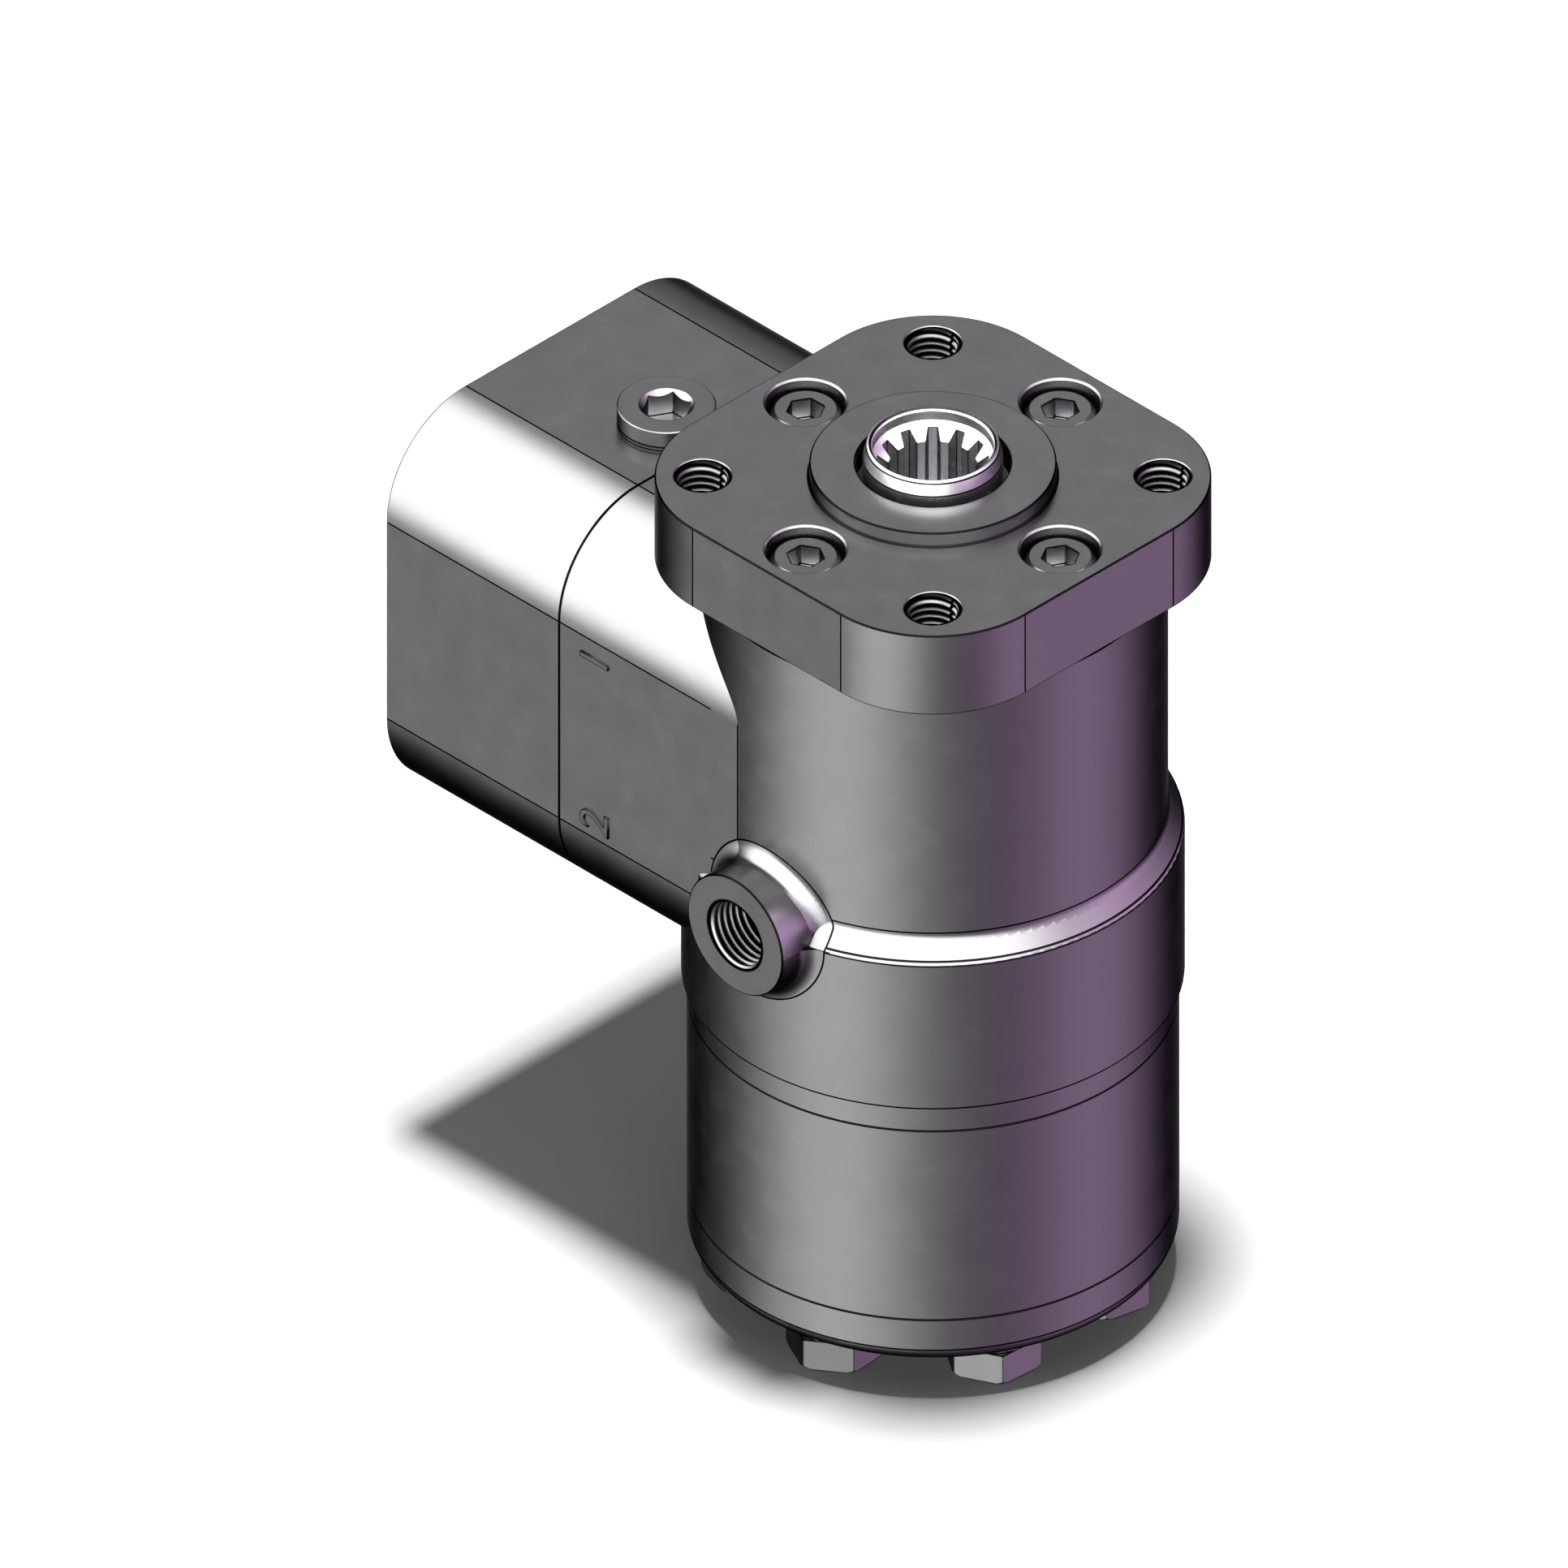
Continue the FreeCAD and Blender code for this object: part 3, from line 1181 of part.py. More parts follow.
def relief_adjuster():
    low = ADJUSTER_TOP_Z - ADJUSTER_H
    disc = cylinder(RELIEF_BORE_R - SEAT_GAP, low, ADJUSTER_TOP_Z)
    socket = hexagon(ADJUSTER_AF, ADJUSTER_TOP_Z - ADJUSTER_H / 2, ADJUSTER_TOP_Z)
    return moved(disc.cut(socket), vec(RELIEF_X, RELIEF_Y, 0))


def valve_seat(height, outer_r):
    """Seat ring with its top at z = 0."""
    return tube(SEAT_BORE_R, outer_r - SEAT_GAP, -height, 0)


def poppet():
    """Poppet with its cone's shoulder on a seat at z = 0 and its spring collar above."""
    shoulder = SEAT_GAP + POPPET_R - SEAT_BORE_R
    return revolve([
        (0, SEAT_GAP - SEAT_BORE_R / 2),
        (SEAT_BORE_R / 2, SEAT_GAP - SEAT_BORE_R / 2),
        (POPPET_R, shoulder),
        (POPPET_R, shoulder + POPPET_H),
        (POPPET_STEM_R, shoulder + POPPET_H),
        (POPPET_STEM_R, shoulder + POPPET_H + POPPET_STEM_H),
        (0, shoulder + POPPET_H + POPPET_STEM_H),
    ])


def poppet_collar_h():
    """Height above the seat where the spring stands on the poppet."""
    return SEAT_GAP + POPPET_R - SEAT_BORE_R + POPPET_H


def relief_seat_place():
    return vec(RELIEF_X, RELIEF_Y, RELIEF_SEAT_TOP_Z)


def relief_spring():
    low = RELIEF_SEAT_TOP_Z + poppet_collar_h() + SEAT_GAP
    high = ADJUSTER_TOP_Z - ADJUSTER_H - SEAT_GAP
    return moved(coil_spring(low, high), vec(RELIEF_X, RELIEF_Y, 0))


def shock_place(shape, side):
    """Shape drawn upwards from a seat at z = 0, turned over and set under a lower gallery."""
    copy = shape.copy()
    copy.rotate(ORIGIN, X_AXIS, 180)
    return moved(copy, vec(side * PORT_X, SHOCK_Y, SHOCK_SEAT_TOP_Z - SHOCK_SEAT_H))


def shock_spring():
    plug_top = BLOCK_LOW_Z + SHOCK_PLUG_LENGTH
    high = SHOCK_SEAT_TOP_Z - SHOCK_SEAT_H - plug_top - SEAT_GAP
    return coil_spring(poppet_collar_h() + SEAT_GAP, high)


def shock_plug():
    low = BLOCK_LOW_Z
    body = chamfered_disc(SHOCK_PLUG_R - SEAT_GAP, low, low + SHOCK_PLUG_LENGTH, PLUG_EDGE, 0)
    return body.cut(hexagon(SHOCK_PLUG_AF, low, low + SHOCK_PLUG_LENGTH / 2))


def shock_plugs():
    return Part.makeCompound([moved(shock_plug(), vec(side * PORT_X, SHOCK_Y, 0)) for side in SIDES])


def sub_parts():
    """Every sub-part by name."""
    parts = {
        "mounting_flange": mounting_flange(),
        "flange_screws": flange_screws(),
        "flange_seal": seal_ring(FLANGE_SEAL_R, -FLANGE_T - SEAL_H),
        "dust_seal": lip_seal(*seal_places()[0]),
        "shaft_seal": lip_seal(*seal_places()[1]),
        "thrust_race_upper": thrust_race(-FLANGE_T - RACE_T),
        "thrust_race_lower": thrust_race(SLEEVE_TOP_Z),
        "needle_cage": needle_cage(),
        "needles": needles(),
        "control_spool": control_spool(),
        "control_sleeve": control_sleeve(),
        "cross_pin": cross_pin(),
        "flat_springs": flat_springs(),
        "curved_springs": curved_springs(),
        "spring_band": spring_band(),
        "housing": housing(),
        "plate_seal": seal_ring(STACK_SEAL_R, HOUSING_END_Z),
        "distributor_plate": distributor_plate(),
        "ring_seal": seal_ring(STACK_SEAL_R, PLATE_END_Z - SEAL_H),
        "gear_ring": gear_ring(),
        "rotor": rotor(),
        "cardan_shaft": cardan_shaft(),
        "drive_spacer": drive_spacer(),
        "cover_seal": seal_ring(STACK_SEAL_R, GEAR_END_Z),
        "end_cover": end_cover(),
        "end_bolts": end_bolts(),
        "bolt_washers": bolt_washers(),
        "valve_block": valve_block(),
        "block_screws": block_screws(),
        "port_seals": port_seals(),
        "check_valve_seat": check_valve_seat(),
        "check_ball": check_ball(),
        "check_valve_pin": check_valve_pin(),
        "relief_plug": relief_plug(),
        "relief_washer": relief_washer(),
        "relief_adjuster": relief_adjuster(),
        "relief_spring": relief_spring(),
        "relief_poppet": moved(poppet(), relief_seat_place()),
        "relief_seat": moved(valve_seat(RELIEF_SEAT_H, RELIEF_BORE_R), relief_seat_place()),
        "shock_plugs": shock_plugs(),
    }
    for side, hand in zip(SIDES, ("left", "right")):
        parts["shock_seat_" + hand] = shock_place(valve_seat(SHOCK_SEAT_H, SHOCK_BORE_R), side)
        parts["shock_poppet_" + hand] = shock_place(poppet(), side)
        parts["shock_spring_" + hand] = shock_place(shock_spring(), side)
    return parts


def main():
    os.makedirs("parts", exist_ok=True)
    for name, shape in sub_parts().items():
        if not shape.isValid():
            raise RuntimeError(name + " is not a valid shape")
        shape.exportStep(os.path.join("parts", name + ".step"))


main()
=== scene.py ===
import bpy
import bmesh
import json
import math
from mathutils import Matrix, Vector

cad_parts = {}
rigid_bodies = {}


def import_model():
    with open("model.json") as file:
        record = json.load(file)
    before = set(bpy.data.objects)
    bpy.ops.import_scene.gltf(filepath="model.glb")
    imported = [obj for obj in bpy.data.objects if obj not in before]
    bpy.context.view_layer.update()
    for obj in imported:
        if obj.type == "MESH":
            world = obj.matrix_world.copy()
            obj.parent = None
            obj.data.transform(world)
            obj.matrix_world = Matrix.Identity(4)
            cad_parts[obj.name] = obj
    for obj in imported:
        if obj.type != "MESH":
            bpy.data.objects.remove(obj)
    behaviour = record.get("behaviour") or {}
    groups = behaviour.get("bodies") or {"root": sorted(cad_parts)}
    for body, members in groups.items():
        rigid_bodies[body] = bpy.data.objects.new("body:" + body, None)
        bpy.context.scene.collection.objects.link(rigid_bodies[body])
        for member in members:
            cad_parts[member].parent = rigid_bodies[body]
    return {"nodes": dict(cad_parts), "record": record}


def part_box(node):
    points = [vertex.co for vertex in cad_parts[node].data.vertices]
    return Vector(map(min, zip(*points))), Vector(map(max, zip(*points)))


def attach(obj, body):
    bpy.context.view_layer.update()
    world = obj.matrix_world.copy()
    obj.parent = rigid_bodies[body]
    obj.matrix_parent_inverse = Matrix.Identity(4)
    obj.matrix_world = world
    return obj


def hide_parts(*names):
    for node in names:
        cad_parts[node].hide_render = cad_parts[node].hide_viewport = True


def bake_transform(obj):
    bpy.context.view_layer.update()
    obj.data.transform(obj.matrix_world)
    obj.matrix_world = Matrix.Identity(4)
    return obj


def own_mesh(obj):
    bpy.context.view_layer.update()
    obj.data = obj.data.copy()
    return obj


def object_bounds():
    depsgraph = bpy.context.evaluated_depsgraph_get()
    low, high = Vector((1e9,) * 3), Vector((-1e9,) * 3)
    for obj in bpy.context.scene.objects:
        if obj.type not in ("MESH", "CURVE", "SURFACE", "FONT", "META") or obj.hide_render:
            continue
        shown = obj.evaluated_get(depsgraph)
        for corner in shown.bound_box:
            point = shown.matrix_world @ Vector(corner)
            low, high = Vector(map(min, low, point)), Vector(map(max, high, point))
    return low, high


# The steering unit's looks: finishes, threads, numbers, spring copies, floor, lights and camera. Metres.

MM = 0.001
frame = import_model()
CAD_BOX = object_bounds()
NODES = frame["nodes"]
MOUNTS = {mount["name"]: mount for mount in frame["record"]["mounts"]}
SLOTS = {entry["node"]: entry["material_slot"] for entry in frame["record"]["subparts"]}
MERGE_REACH = 0.001 * MM

# The photograph is an orthographic view from the left, front and above
VIEW_BACK = Vector((-1, -1, 1)).normalized()
VIEW_RIGHT = Vector((1, -1, 0)).normalized()
VIEW_UP = Vector((1, 1, 2)).normalized()
VIEW_WIDTH = 281.2 * MM
VIEW_SHIFT_RIGHT = -26.71 * MM
VIEW_SHIFT_UP = -55.31 * MM
CAMERA_DISTANCE = 1.5
CAMERA_FAR = 10.0


# Materials

# Dark lines along edges, drawn on outer edges and painted shade along inner creases: how near an edge they
# lie, and the openness where they start and end
EDGE_REACH = 0.35 * MM
EDGE_DARK = 0.03
OUTER_EDGE = (0.74, 0.95)
INNER_CREASE_SHADE = (0.70, 0.88)
# Painted light in recesses: how far occlusion is sought, and the openness where it starts and ends
RECESS_LIGHT_REACH = 5.0 * MM
RECESS_LIGHT_OPENNESS = (0.4, 0.9)
OCCLUSION_SAMPLES = 8
EDGE_WIDTH = 0.3 * MM
SEAM_WIDTH = 0.36 * MM
JOINT_WIDTH = 0.5 * MM
# The housing's overhang hides the lower half of the joint under it
UPPER_JOINT_WIDTH = 0.9 * MM

# Places on the solids, from the part's own sizes
COLUMN_THREAD_R = 5.0 * MM
SCREW_PITCH_R = 32.3 * MM
SCREW_BORE_R = 7.4 * MM
NECK_BORE_R = 10.95 * MM
NECK_STRAIGHT_Z = 4.2 * MM
NECK_RIM = 0.5 * MM
NECK_MOUTH_R = 11.3 * MM
FLANGE_CORNER_R = 23.4 * MM
PILOT_H = 3.0 * MM
BLOCK_CORNER_R = 20.0 * MM
BLOCK_BEHIND_Y = 15.0 * MM
BODY_R = 42.2 * MM
STACK_SKIN_R = 43.9 * MM
COVER_EDGE_R = 3.0 * MM
COLLAR_H = 31.7 * MM
# Heights over the collar's top of the lines along its slope
SLOPE_SEAMS = (-0.3 * MM, 0.5 * MM, 5.0 * MM)
BOSS_R = 12.0 * MM
BOSS_ROOT_R = 3.0 * MM

# Painted shade in the threaded holes and painted light in the counterbores and the spool's neck and bore,
# as a multiple of the finish
THREAD_PAINTED_SHADE = 0.7
COUNTERBORE_PAINTED_LIGHT = 1.7
NECK_WALL_PAINTED_LIGHT = 4.0
NECK_TAPER_PAINTED_LIGHT = 2.6
NECK_BORE_PAINTED_LIGHT = 2.7

# Metals stay dark where they are seen at a grazing angle
GRAZING_TINT = (0.15, 0.15, 0.15, 1)

# Grain of metal and rubber: noise in cells per metre, with most of its values in a middle band
NOISE_BAND = (0.3, 0.7)
MOTTLE_SCALE = 45.0
ROUGH_SCALE = 160.0
ROUGH_SPREAD = 0.02
BUMP_STRENGTH = 0.02
BUMP_HEIGHT = 0.05 * MM
RUBBER_GRAIN = 900.0
RUBBER_SHADE = (0.85, 1.15)
RUBBER_UNEVEN = 400.0
RUBBER_ROUGHNESS = (0.5, 0.65)


def new_material(name):
    material = bpy.data.materials.new(name)
    material.use_nodes = True
    tree = material.node_tree
    tree.nodes.clear()
    return material, tree


def add(tree, kind, **values):
    """Node of a kind with its properties and input sockets set by name."""
    node = tree.nodes.new(kind)
    for key, value in values.items():
        if hasattr(node, key):
            setattr(node, key, value)
        else:
            node.inputs[key.replace("_", " ")].default_value = value
    return node


def link(tree, source, target):
    tree.links.new(source, target)


def ramp(tree, source, low, high, out_low, out_high):
    """Value mapped from one range to another and held at its ends."""
    node = add(tree, "ShaderNodeMapRange")
    for key, value in (("From Min", low), ("From Max", high), ("To Min", out_low), ("To Max", out_high)):
        node.inputs[key].default_value = value
    link(tree, source, node.inputs["Value"])
    return node.outputs["Result"]


def math_node(tree, operation, a, b=None, c=None):
    node = add(tree, "ShaderNodeMath", operation=operation)
    for socket, value in zip(node.inputs, (a, b, c)):
        if value is None:
            continue
        if isinstance(value, (int, float)):
            socket.default_value = value
        else:
            link(tree, value, socket)
    return node.outputs[0]


def times(tree, *values):
    total = values[0]
    for value in values[1:]:
        total = math_node(tree, "MULTIPLY", total, value)
    return total


def minus(tree, a, b):
    return math_node(tree, "SUBTRACT", a, b)


def noise(tree, coords, scale, detail=3.0):
    """Noise in the object's own space, scale in cells per metre."""
    node = add(tree, "ShaderNodeTexNoise", Scale=scale, Detail=detail)
    link(tree, coords, node.inputs["Vector"])
    return node.outputs["Fac"]


def occlusion(tree, reach, inside=False):
    """1 on open surface, less where other surface lies within reach, outside or under the skin."""
    node = add(tree, "ShaderNodeAmbientOcclusion", samples=OCCLUSION_SAMPLES, inside=inside)
    node.only_local = True
    node.inputs["Distance"].default_value = reach
    return node.outputs["AO"]


def edge_lines_and_crease_shade(tree):
    """1 on open surface and dark on a thin line along every edge: a drawn line on outer edges and painted
    shade along inner creases.
    """
    outer = ramp(tree, occlusion(tree, EDGE_REACH, inside=True), *OUTER_EDGE, EDGE_DARK, 1.0)
    inner = ramp(tree, occlusion(tree, EDGE_REACH), *INNER_CREASE_SHADE, EDGE_DARK, 1.0)
    return times(tree, outer, inner)


# Masks: 1 at a place and 0 elsewhere


def above(tree, value, limit):
    return math_node(tree, "GREATER_THAN", value, limit)


def below(tree, value, limit):
    return math_node(tree, "LESS_THAN", value, limit)


def between(tree, value, low, high):
    return math_node(tree, "COMPARE", value, (low + high) / 2, (high - low) / 2)


def line_at(tree, value, place, width):
    return between(tree, value, place - width / 2, place + width / 2)


def either(tree, *masks):
    total = masks[0]
    for mask in masks[1:]:
        total = math_node(tree, "MAXIMUM", total, mask)
    return total


def scaled(tree, mask, factor):
    """A factor where the mask is 1, and 1 elsewhere."""
    return ramp(tree, mask, 0, 1, 1.0, factor)


def distance(tree, a, b):
    square = math_node(tree, "MULTIPLY_ADD", a, a, math_node(tree, "MULTIPLY", b, b))
    return math_node(tree, "SQRT", square)


def size_of(tree, value, middle=0.0):
    return math_node(tree, "ABSOLUTE", minus(tree, value, middle))


def rounded_skin(tree, a, b, flat_a, flat_b, corner_r):
    """Outside of a bar with round corners, with a and b the sizes of the place across it."""
    over_a = math_node(tree, "MAXIMUM", minus(tree, a, flat_a), 0.0)
    over_b = math_node(tree, "MAXIMUM", minus(tree, b, flat_b), 0.0)
    return above(tree, distance(tree, over_a, over_b), corner_r - EDGE_WIDTH)


def flange_lines(tree, x, y, z):
    """The flange's rims, the starts of its round corners, and the pilot's edge and root."""
    (_x, _y, low), (half, _end, _top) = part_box("mounting_flange")
    flat = half - FLANGE_CORNER_R
    wide = size_of(tree, x)
    deep = size_of(tree, y)
    skin = rounded_skin(tree, wide, deep, flat, flat, FLANGE_CORNER_R)
    rims = either(tree, between(tree, z, low - MM, low + EDGE_WIDTH), between(tree, z, -EDGE_WIDTH, MM))
    corners = either(tree, line_at(tree, wide, flat, SEAM_WIDTH), line_at(tree, deep, flat, SEAM_WIDTH))
    outside = times(tree, skin, either(tree, rims, corners))
    pilot_r = MOUNTS["pilot"]["dims"]["r_mm"] * MM
    radius = distance(tree, x, y)
    tip = times(tree, between(tree, z, PILOT_H - EDGE_WIDTH, PILOT_H + MM),
                between(tree, radius, pilot_r - EDGE_WIDTH, pilot_r + MM))
    root = times(tree, between(tree, z, -EDGE_WIDTH, EDGE_WIDTH),
                 between(tree, radius, pilot_r - EDGE_WIDTH, pilot_r + 1.5 * EDGE_WIDTH))
    return either(tree, outside, tip, root)


def flange_painted_shade_and_light(tree, x, y, z):
    """Painted shade in the threaded holes, and painted light in the screws' counterbores."""
    wide = size_of(tree, x)
    deep = size_of(tree, y)
    pitch = MOUNTS["column_bolts"]["dims"]["pcd_mm"] * MM / 2 * math.sqrt(0.5)
    hole = distance(tree, minus(tree, wide, pitch), minus(tree, deep, pitch))
    far = math_node(tree, "MAXIMUM", wide, deep)
    near = math_node(tree, "MINIMUM", wide, deep)
    screw = distance(tree, minus(tree, far, SCREW_PITCH_R), near)
    bore = times(tree, below(tree, screw, SCREW_BORE_R), below(tree, z, -EDGE_WIDTH))
    thread = below(tree, hole, COLUMN_THREAD_R)
    return times(tree, scaled(tree, thread, THREAD_PAINTED_SHADE), scaled(tree, bore, COUNTERBORE_PAINTED_LIGHT))


def stack_lines(tree, x, y, z):
    """Joints of the round stack, and the start of the cover's round edge."""
    plate_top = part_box("distributor_plate")[1][2]
    ring_ends = [corner[2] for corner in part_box("gear_ring")]
    upper = line_at(tree, z, plate_top, UPPER_JOINT_WIDTH)
    joints = either(tree, upper, *(line_at(tree, z, place, JOINT_WIDTH) for place in ring_ends))
    round_edge = line_at(tree, z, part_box("end_cover")[0][2] + COVER_EDGE_R, SEAM_WIDTH)
    outside = above(tree, distance(tree, x, y), STACK_SKIN_R)
    return times(tree, outside, either(tree, joints, round_edge))


def boss_radius(tree, y, z):
    """Distance from the side boss's axis."""
    _x, boss_y, boss_z = MOUNTS["side_port"]["pos_m"]
    return distance(tree, minus(tree, y, boss_y), minus(tree, z, boss_z))


def off_boss(tree, x, y, z):
    """1 away from the side boss and its root."""
    clear = above(tree, boss_radius(tree, y, z), BOSS_R + BOSS_ROOT_R)
    return either(tree, clear, above(tree, x, 0.0))


def block_lines(tree, x, y, z):
    """The block's ends, its joint, its round corners, and where its sides meet the cylinder."""
    (low_x, parting, low), (_x, end, top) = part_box("valve_block")
    flat_x = -low_x - BLOCK_CORNER_R
    flat_z = (top - low) / 2 - BLOCK_CORNER_R
    wide = size_of(tree, x)
    tall = size_of(tree, z, (top + low) / 2)
    skin = rounded_skin(tree, wide, tall, flat_x, flat_z, BLOCK_CORNER_R)
    joint = line_at(tree, y, parting, 2 * EDGE_WIDTH)
    rim = between(tree, y, end - EDGE_WIDTH, end + MM)
    corners = either(tree, line_at(tree, wide, flat_x, SEAM_WIDTH), line_at(tree, tall, flat_z, SEAM_WIDTH))
    seams = times(tree, above(tree, y, BLOCK_BEHIND_Y), skin, either(tree, joint, rim, corners))
    meeting_y = math.sqrt(BODY_R ** 2 - low_x ** 2)
    meeting = times(tree, line_at(tree, y, meeting_y, SEAM_WIDTH), off_boss(tree, x, y, z),
                    between(tree, tall, 0.0, flat_z), above(tree, wide, -low_x - MM))
    return either(tree, seams, meeting)


def collar_lines(tree, x, y, z):
    """Seams of the collar's slope and joints of the stack, in front of the block and off the boss."""
    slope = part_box("housing")[0][2] + COLLAR_H
    levels = either(tree, *(line_at(tree, z, slope + rise, SEAM_WIDTH) for rise in SLOPE_SEAMS))
    outside = above(tree, distance(tree, x, y), BODY_R - EDGE_WIDTH)
    front = below(tree, y, BLOCK_BEHIND_Y)
    seams = either(tree, levels, stack_lines(tree, x, y, z))
    return times(tree, outside, front, off_boss(tree, x, y, z), seams)


def boss_lines(tree, x, y, z):
    """The boss's rim and the foot of its root."""
    radius = boss_radius(tree, y, z)
    face_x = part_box("housing")[0][0]
    face = between(tree, x, face_x - MM, face_x + EDGE_WIDTH)
    rim = times(tree, face, above(tree, radius, BOSS_R - EDGE_WIDTH))
    root = times(tree, line_at(tree, radius, BOSS_R + BOSS_ROOT_R, SEAM_WIDTH),
                 below(tree, x, -STACK_SKIN_R / 2), below(tree, y, BLOCK_BEHIND_Y))
    return either(tree, rim, root)


def casting_lines(tree, x, y, z):
    lines = [draw(tree, x, y, z) for draw in (block_lines, collar_lines, boss_lines)]
    return either(tree, *lines)


def spool_painted_light(tree, x, y, z):
    """Painted light: the broached bore, the neck's taper and the wall under it are brighter than the rest.
    """
    inside = below(tree, distance(tree, x, y), NECK_BORE_R)
    taper_z = NECK_STRAIGHT_Z + EDGE_WIDTH
    mix = add(tree, "ShaderNodeMix", data_type="FLOAT")
    link(tree, inside, mix.inputs["Factor"])
    link(tree, ramp(tree, z, NECK_STRAIGHT_Z, taper_z, NECK_WALL_PAINTED_LIGHT, NECK_TAPER_PAINTED_LIGHT), mix.inputs["A"])
    mix.inputs["B"].default_value = NECK_BORE_PAINTED_LIGHT
    return mix.outputs["Result"]


def spool_lines(tree, x, y, z):
    """The taper's foot and the edges of the neck's rim."""
    rim_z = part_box("control_spool")[1][2] - NECK_RIM
    radius = distance(tree, x, y)
    outside = above(tree, radius, NECK_BORE_R + EDGE_WIDTH)
    levels = either(tree, *(line_at(tree, z, place, SEAM_WIDTH) for place in (NECK_STRAIGHT_Z, rim_z)))
    mouth = times(tree, above(tree, z, rim_z), line_at(tree, radius, NECK_MOUTH_R, SEAM_WIDTH))
    return either(tree, times(tree, outside, levels), mouth)


def tinted(tree, colour, tone):
    """A colour times a tone."""
    tint = add(tree, "ShaderNodeMix", data_type="RGBA", blend_type="MULTIPLY")
    tint.inputs["Factor"].default_value = 1.0
    tint.inputs["A"].default_value = (*colour, 1)
    combine = add(tree, "ShaderNodeCombineColor")
    for socket in combine.inputs[:3]:
        link(tree, tone, socket)
    link(tree, combine.outputs["Color"], tint.inputs["B"])
    return tint.outputs["Result"]


def metal(name, colour, roughness, grain=0.008, grain_scale=900.0, mottle=0.015, lathe=0.0,
          lathe_pitch=0.25 * MM, lines=None, painted_light_and_shade=None, recess_painted_light=None):
    """Machined metal with a mottled tone, fine grain, and dark edge lines with painted shade along inner
    creases.
    It may have lathe marks, drawn lines, places with painted light and shade of their own, and painted
    light in recesses."""
    material, tree = new_material(name)
    shader = add(tree, "ShaderNodeBsdfPrincipled")
    shader.inputs["Metallic"].default_value = 1.0
    shader.inputs["Specular Tint"].default_value = GRAZING_TINT
    output = add(tree, "ShaderNodeOutputMaterial")
    link(tree, shader.outputs["BSDF"], output.inputs["Surface"])
    coords = add(tree, "ShaderNodeTexCoord").outputs["Object"]
    split = add(tree, "ShaderNodeSeparateXYZ")
    link(tree, coords, split.inputs["Vector"])
    x, y, z = (split.outputs[axis] for axis in "XYZ")

    broad = noise(tree, coords, MOTTLE_SCALE, detail=4.0)
    fine = noise(tree, coords, grain_scale, detail=2.0)
    tone = math_node(tree, "ADD", ramp(tree, broad, *NOISE_BAND, 1 - mottle, 1 + mottle),
                     ramp(tree, fine, *NOISE_BAND, -grain, grain))
    if recess_painted_light:
        # Painted light in recesses: the colour is brighter where other surface lies near
        open_share = occlusion(tree, RECESS_LIGHT_REACH)
        tone = times(tree, tone, ramp(tree, open_share, *RECESS_LIGHT_OPENNESS, recess_painted_light / colour[0], 1.0))
    if painted_light_and_shade:
        tone = times(tree, tone, painted_light_and_shade(tree, x, y, z))
    # Dark edge lines, with painted shade along inner creases
    tone = times(tree, tone, edge_lines_and_crease_shade(tree))
    if lines:
        tone = times(tree, tone, scaled(tree, lines(tree, x, y, z), EDGE_DARK))
    link(tree, tinted(tree, colour, tone), shader.inputs["Base Color"])

    uneven = noise(tree, coords, ROUGH_SCALE, detail=5.0)
    rough = ramp(tree, uneven, *NOISE_BAND, roughness - ROUGH_SPREAD, roughness + ROUGH_SPREAD)
    link(tree, rough, shader.inputs["Roughness"])

    height = fine
    if lathe:
        # Travel of the tool: across a face and then along the wall
        travel = math_node(tree, "ADD", distance(tree, x, y), z)
        wave = math_node(tree, "SINE", times(tree, travel, 2 * math.pi / lathe_pitch))
        height = math_node(tree, "MULTIPLY_ADD", wave, lathe, fine)
    bump = add(tree, "ShaderNodeBump", Strength=BUMP_STRENGTH, Distance=BUMP_HEIGHT)
    link(tree, height, bump.inputs["Height"])
    link(tree, bump.outputs["Normal"], shader.inputs["Normal"])
    return material


def rubber(name, colour):
    """Matt moulded rubber with a fine uneven tone."""
    material, tree = new_material(name)
    shader = add(tree, "ShaderNodeBsdfPrincipled")
    output = add(tree, "ShaderNodeOutputMaterial")
    link(tree, shader.outputs["BSDF"], output.inputs["Surface"])
    coords = add(tree, "ShaderNodeTexCoord").outputs["Object"]
    shade = ramp(tree, noise(tree, coords, RUBBER_GRAIN), *NOISE_BAND, *RUBBER_SHADE)
    link(tree, tinted(tree, colour, shade), shader.inputs["Base Color"])
    rough = ramp(tree, noise(tree, coords, RUBBER_UNEVEN), *NOISE_BAND, *RUBBER_ROUGHNESS)
    link(tree, rough, shader.inputs["Roughness"])
    return material


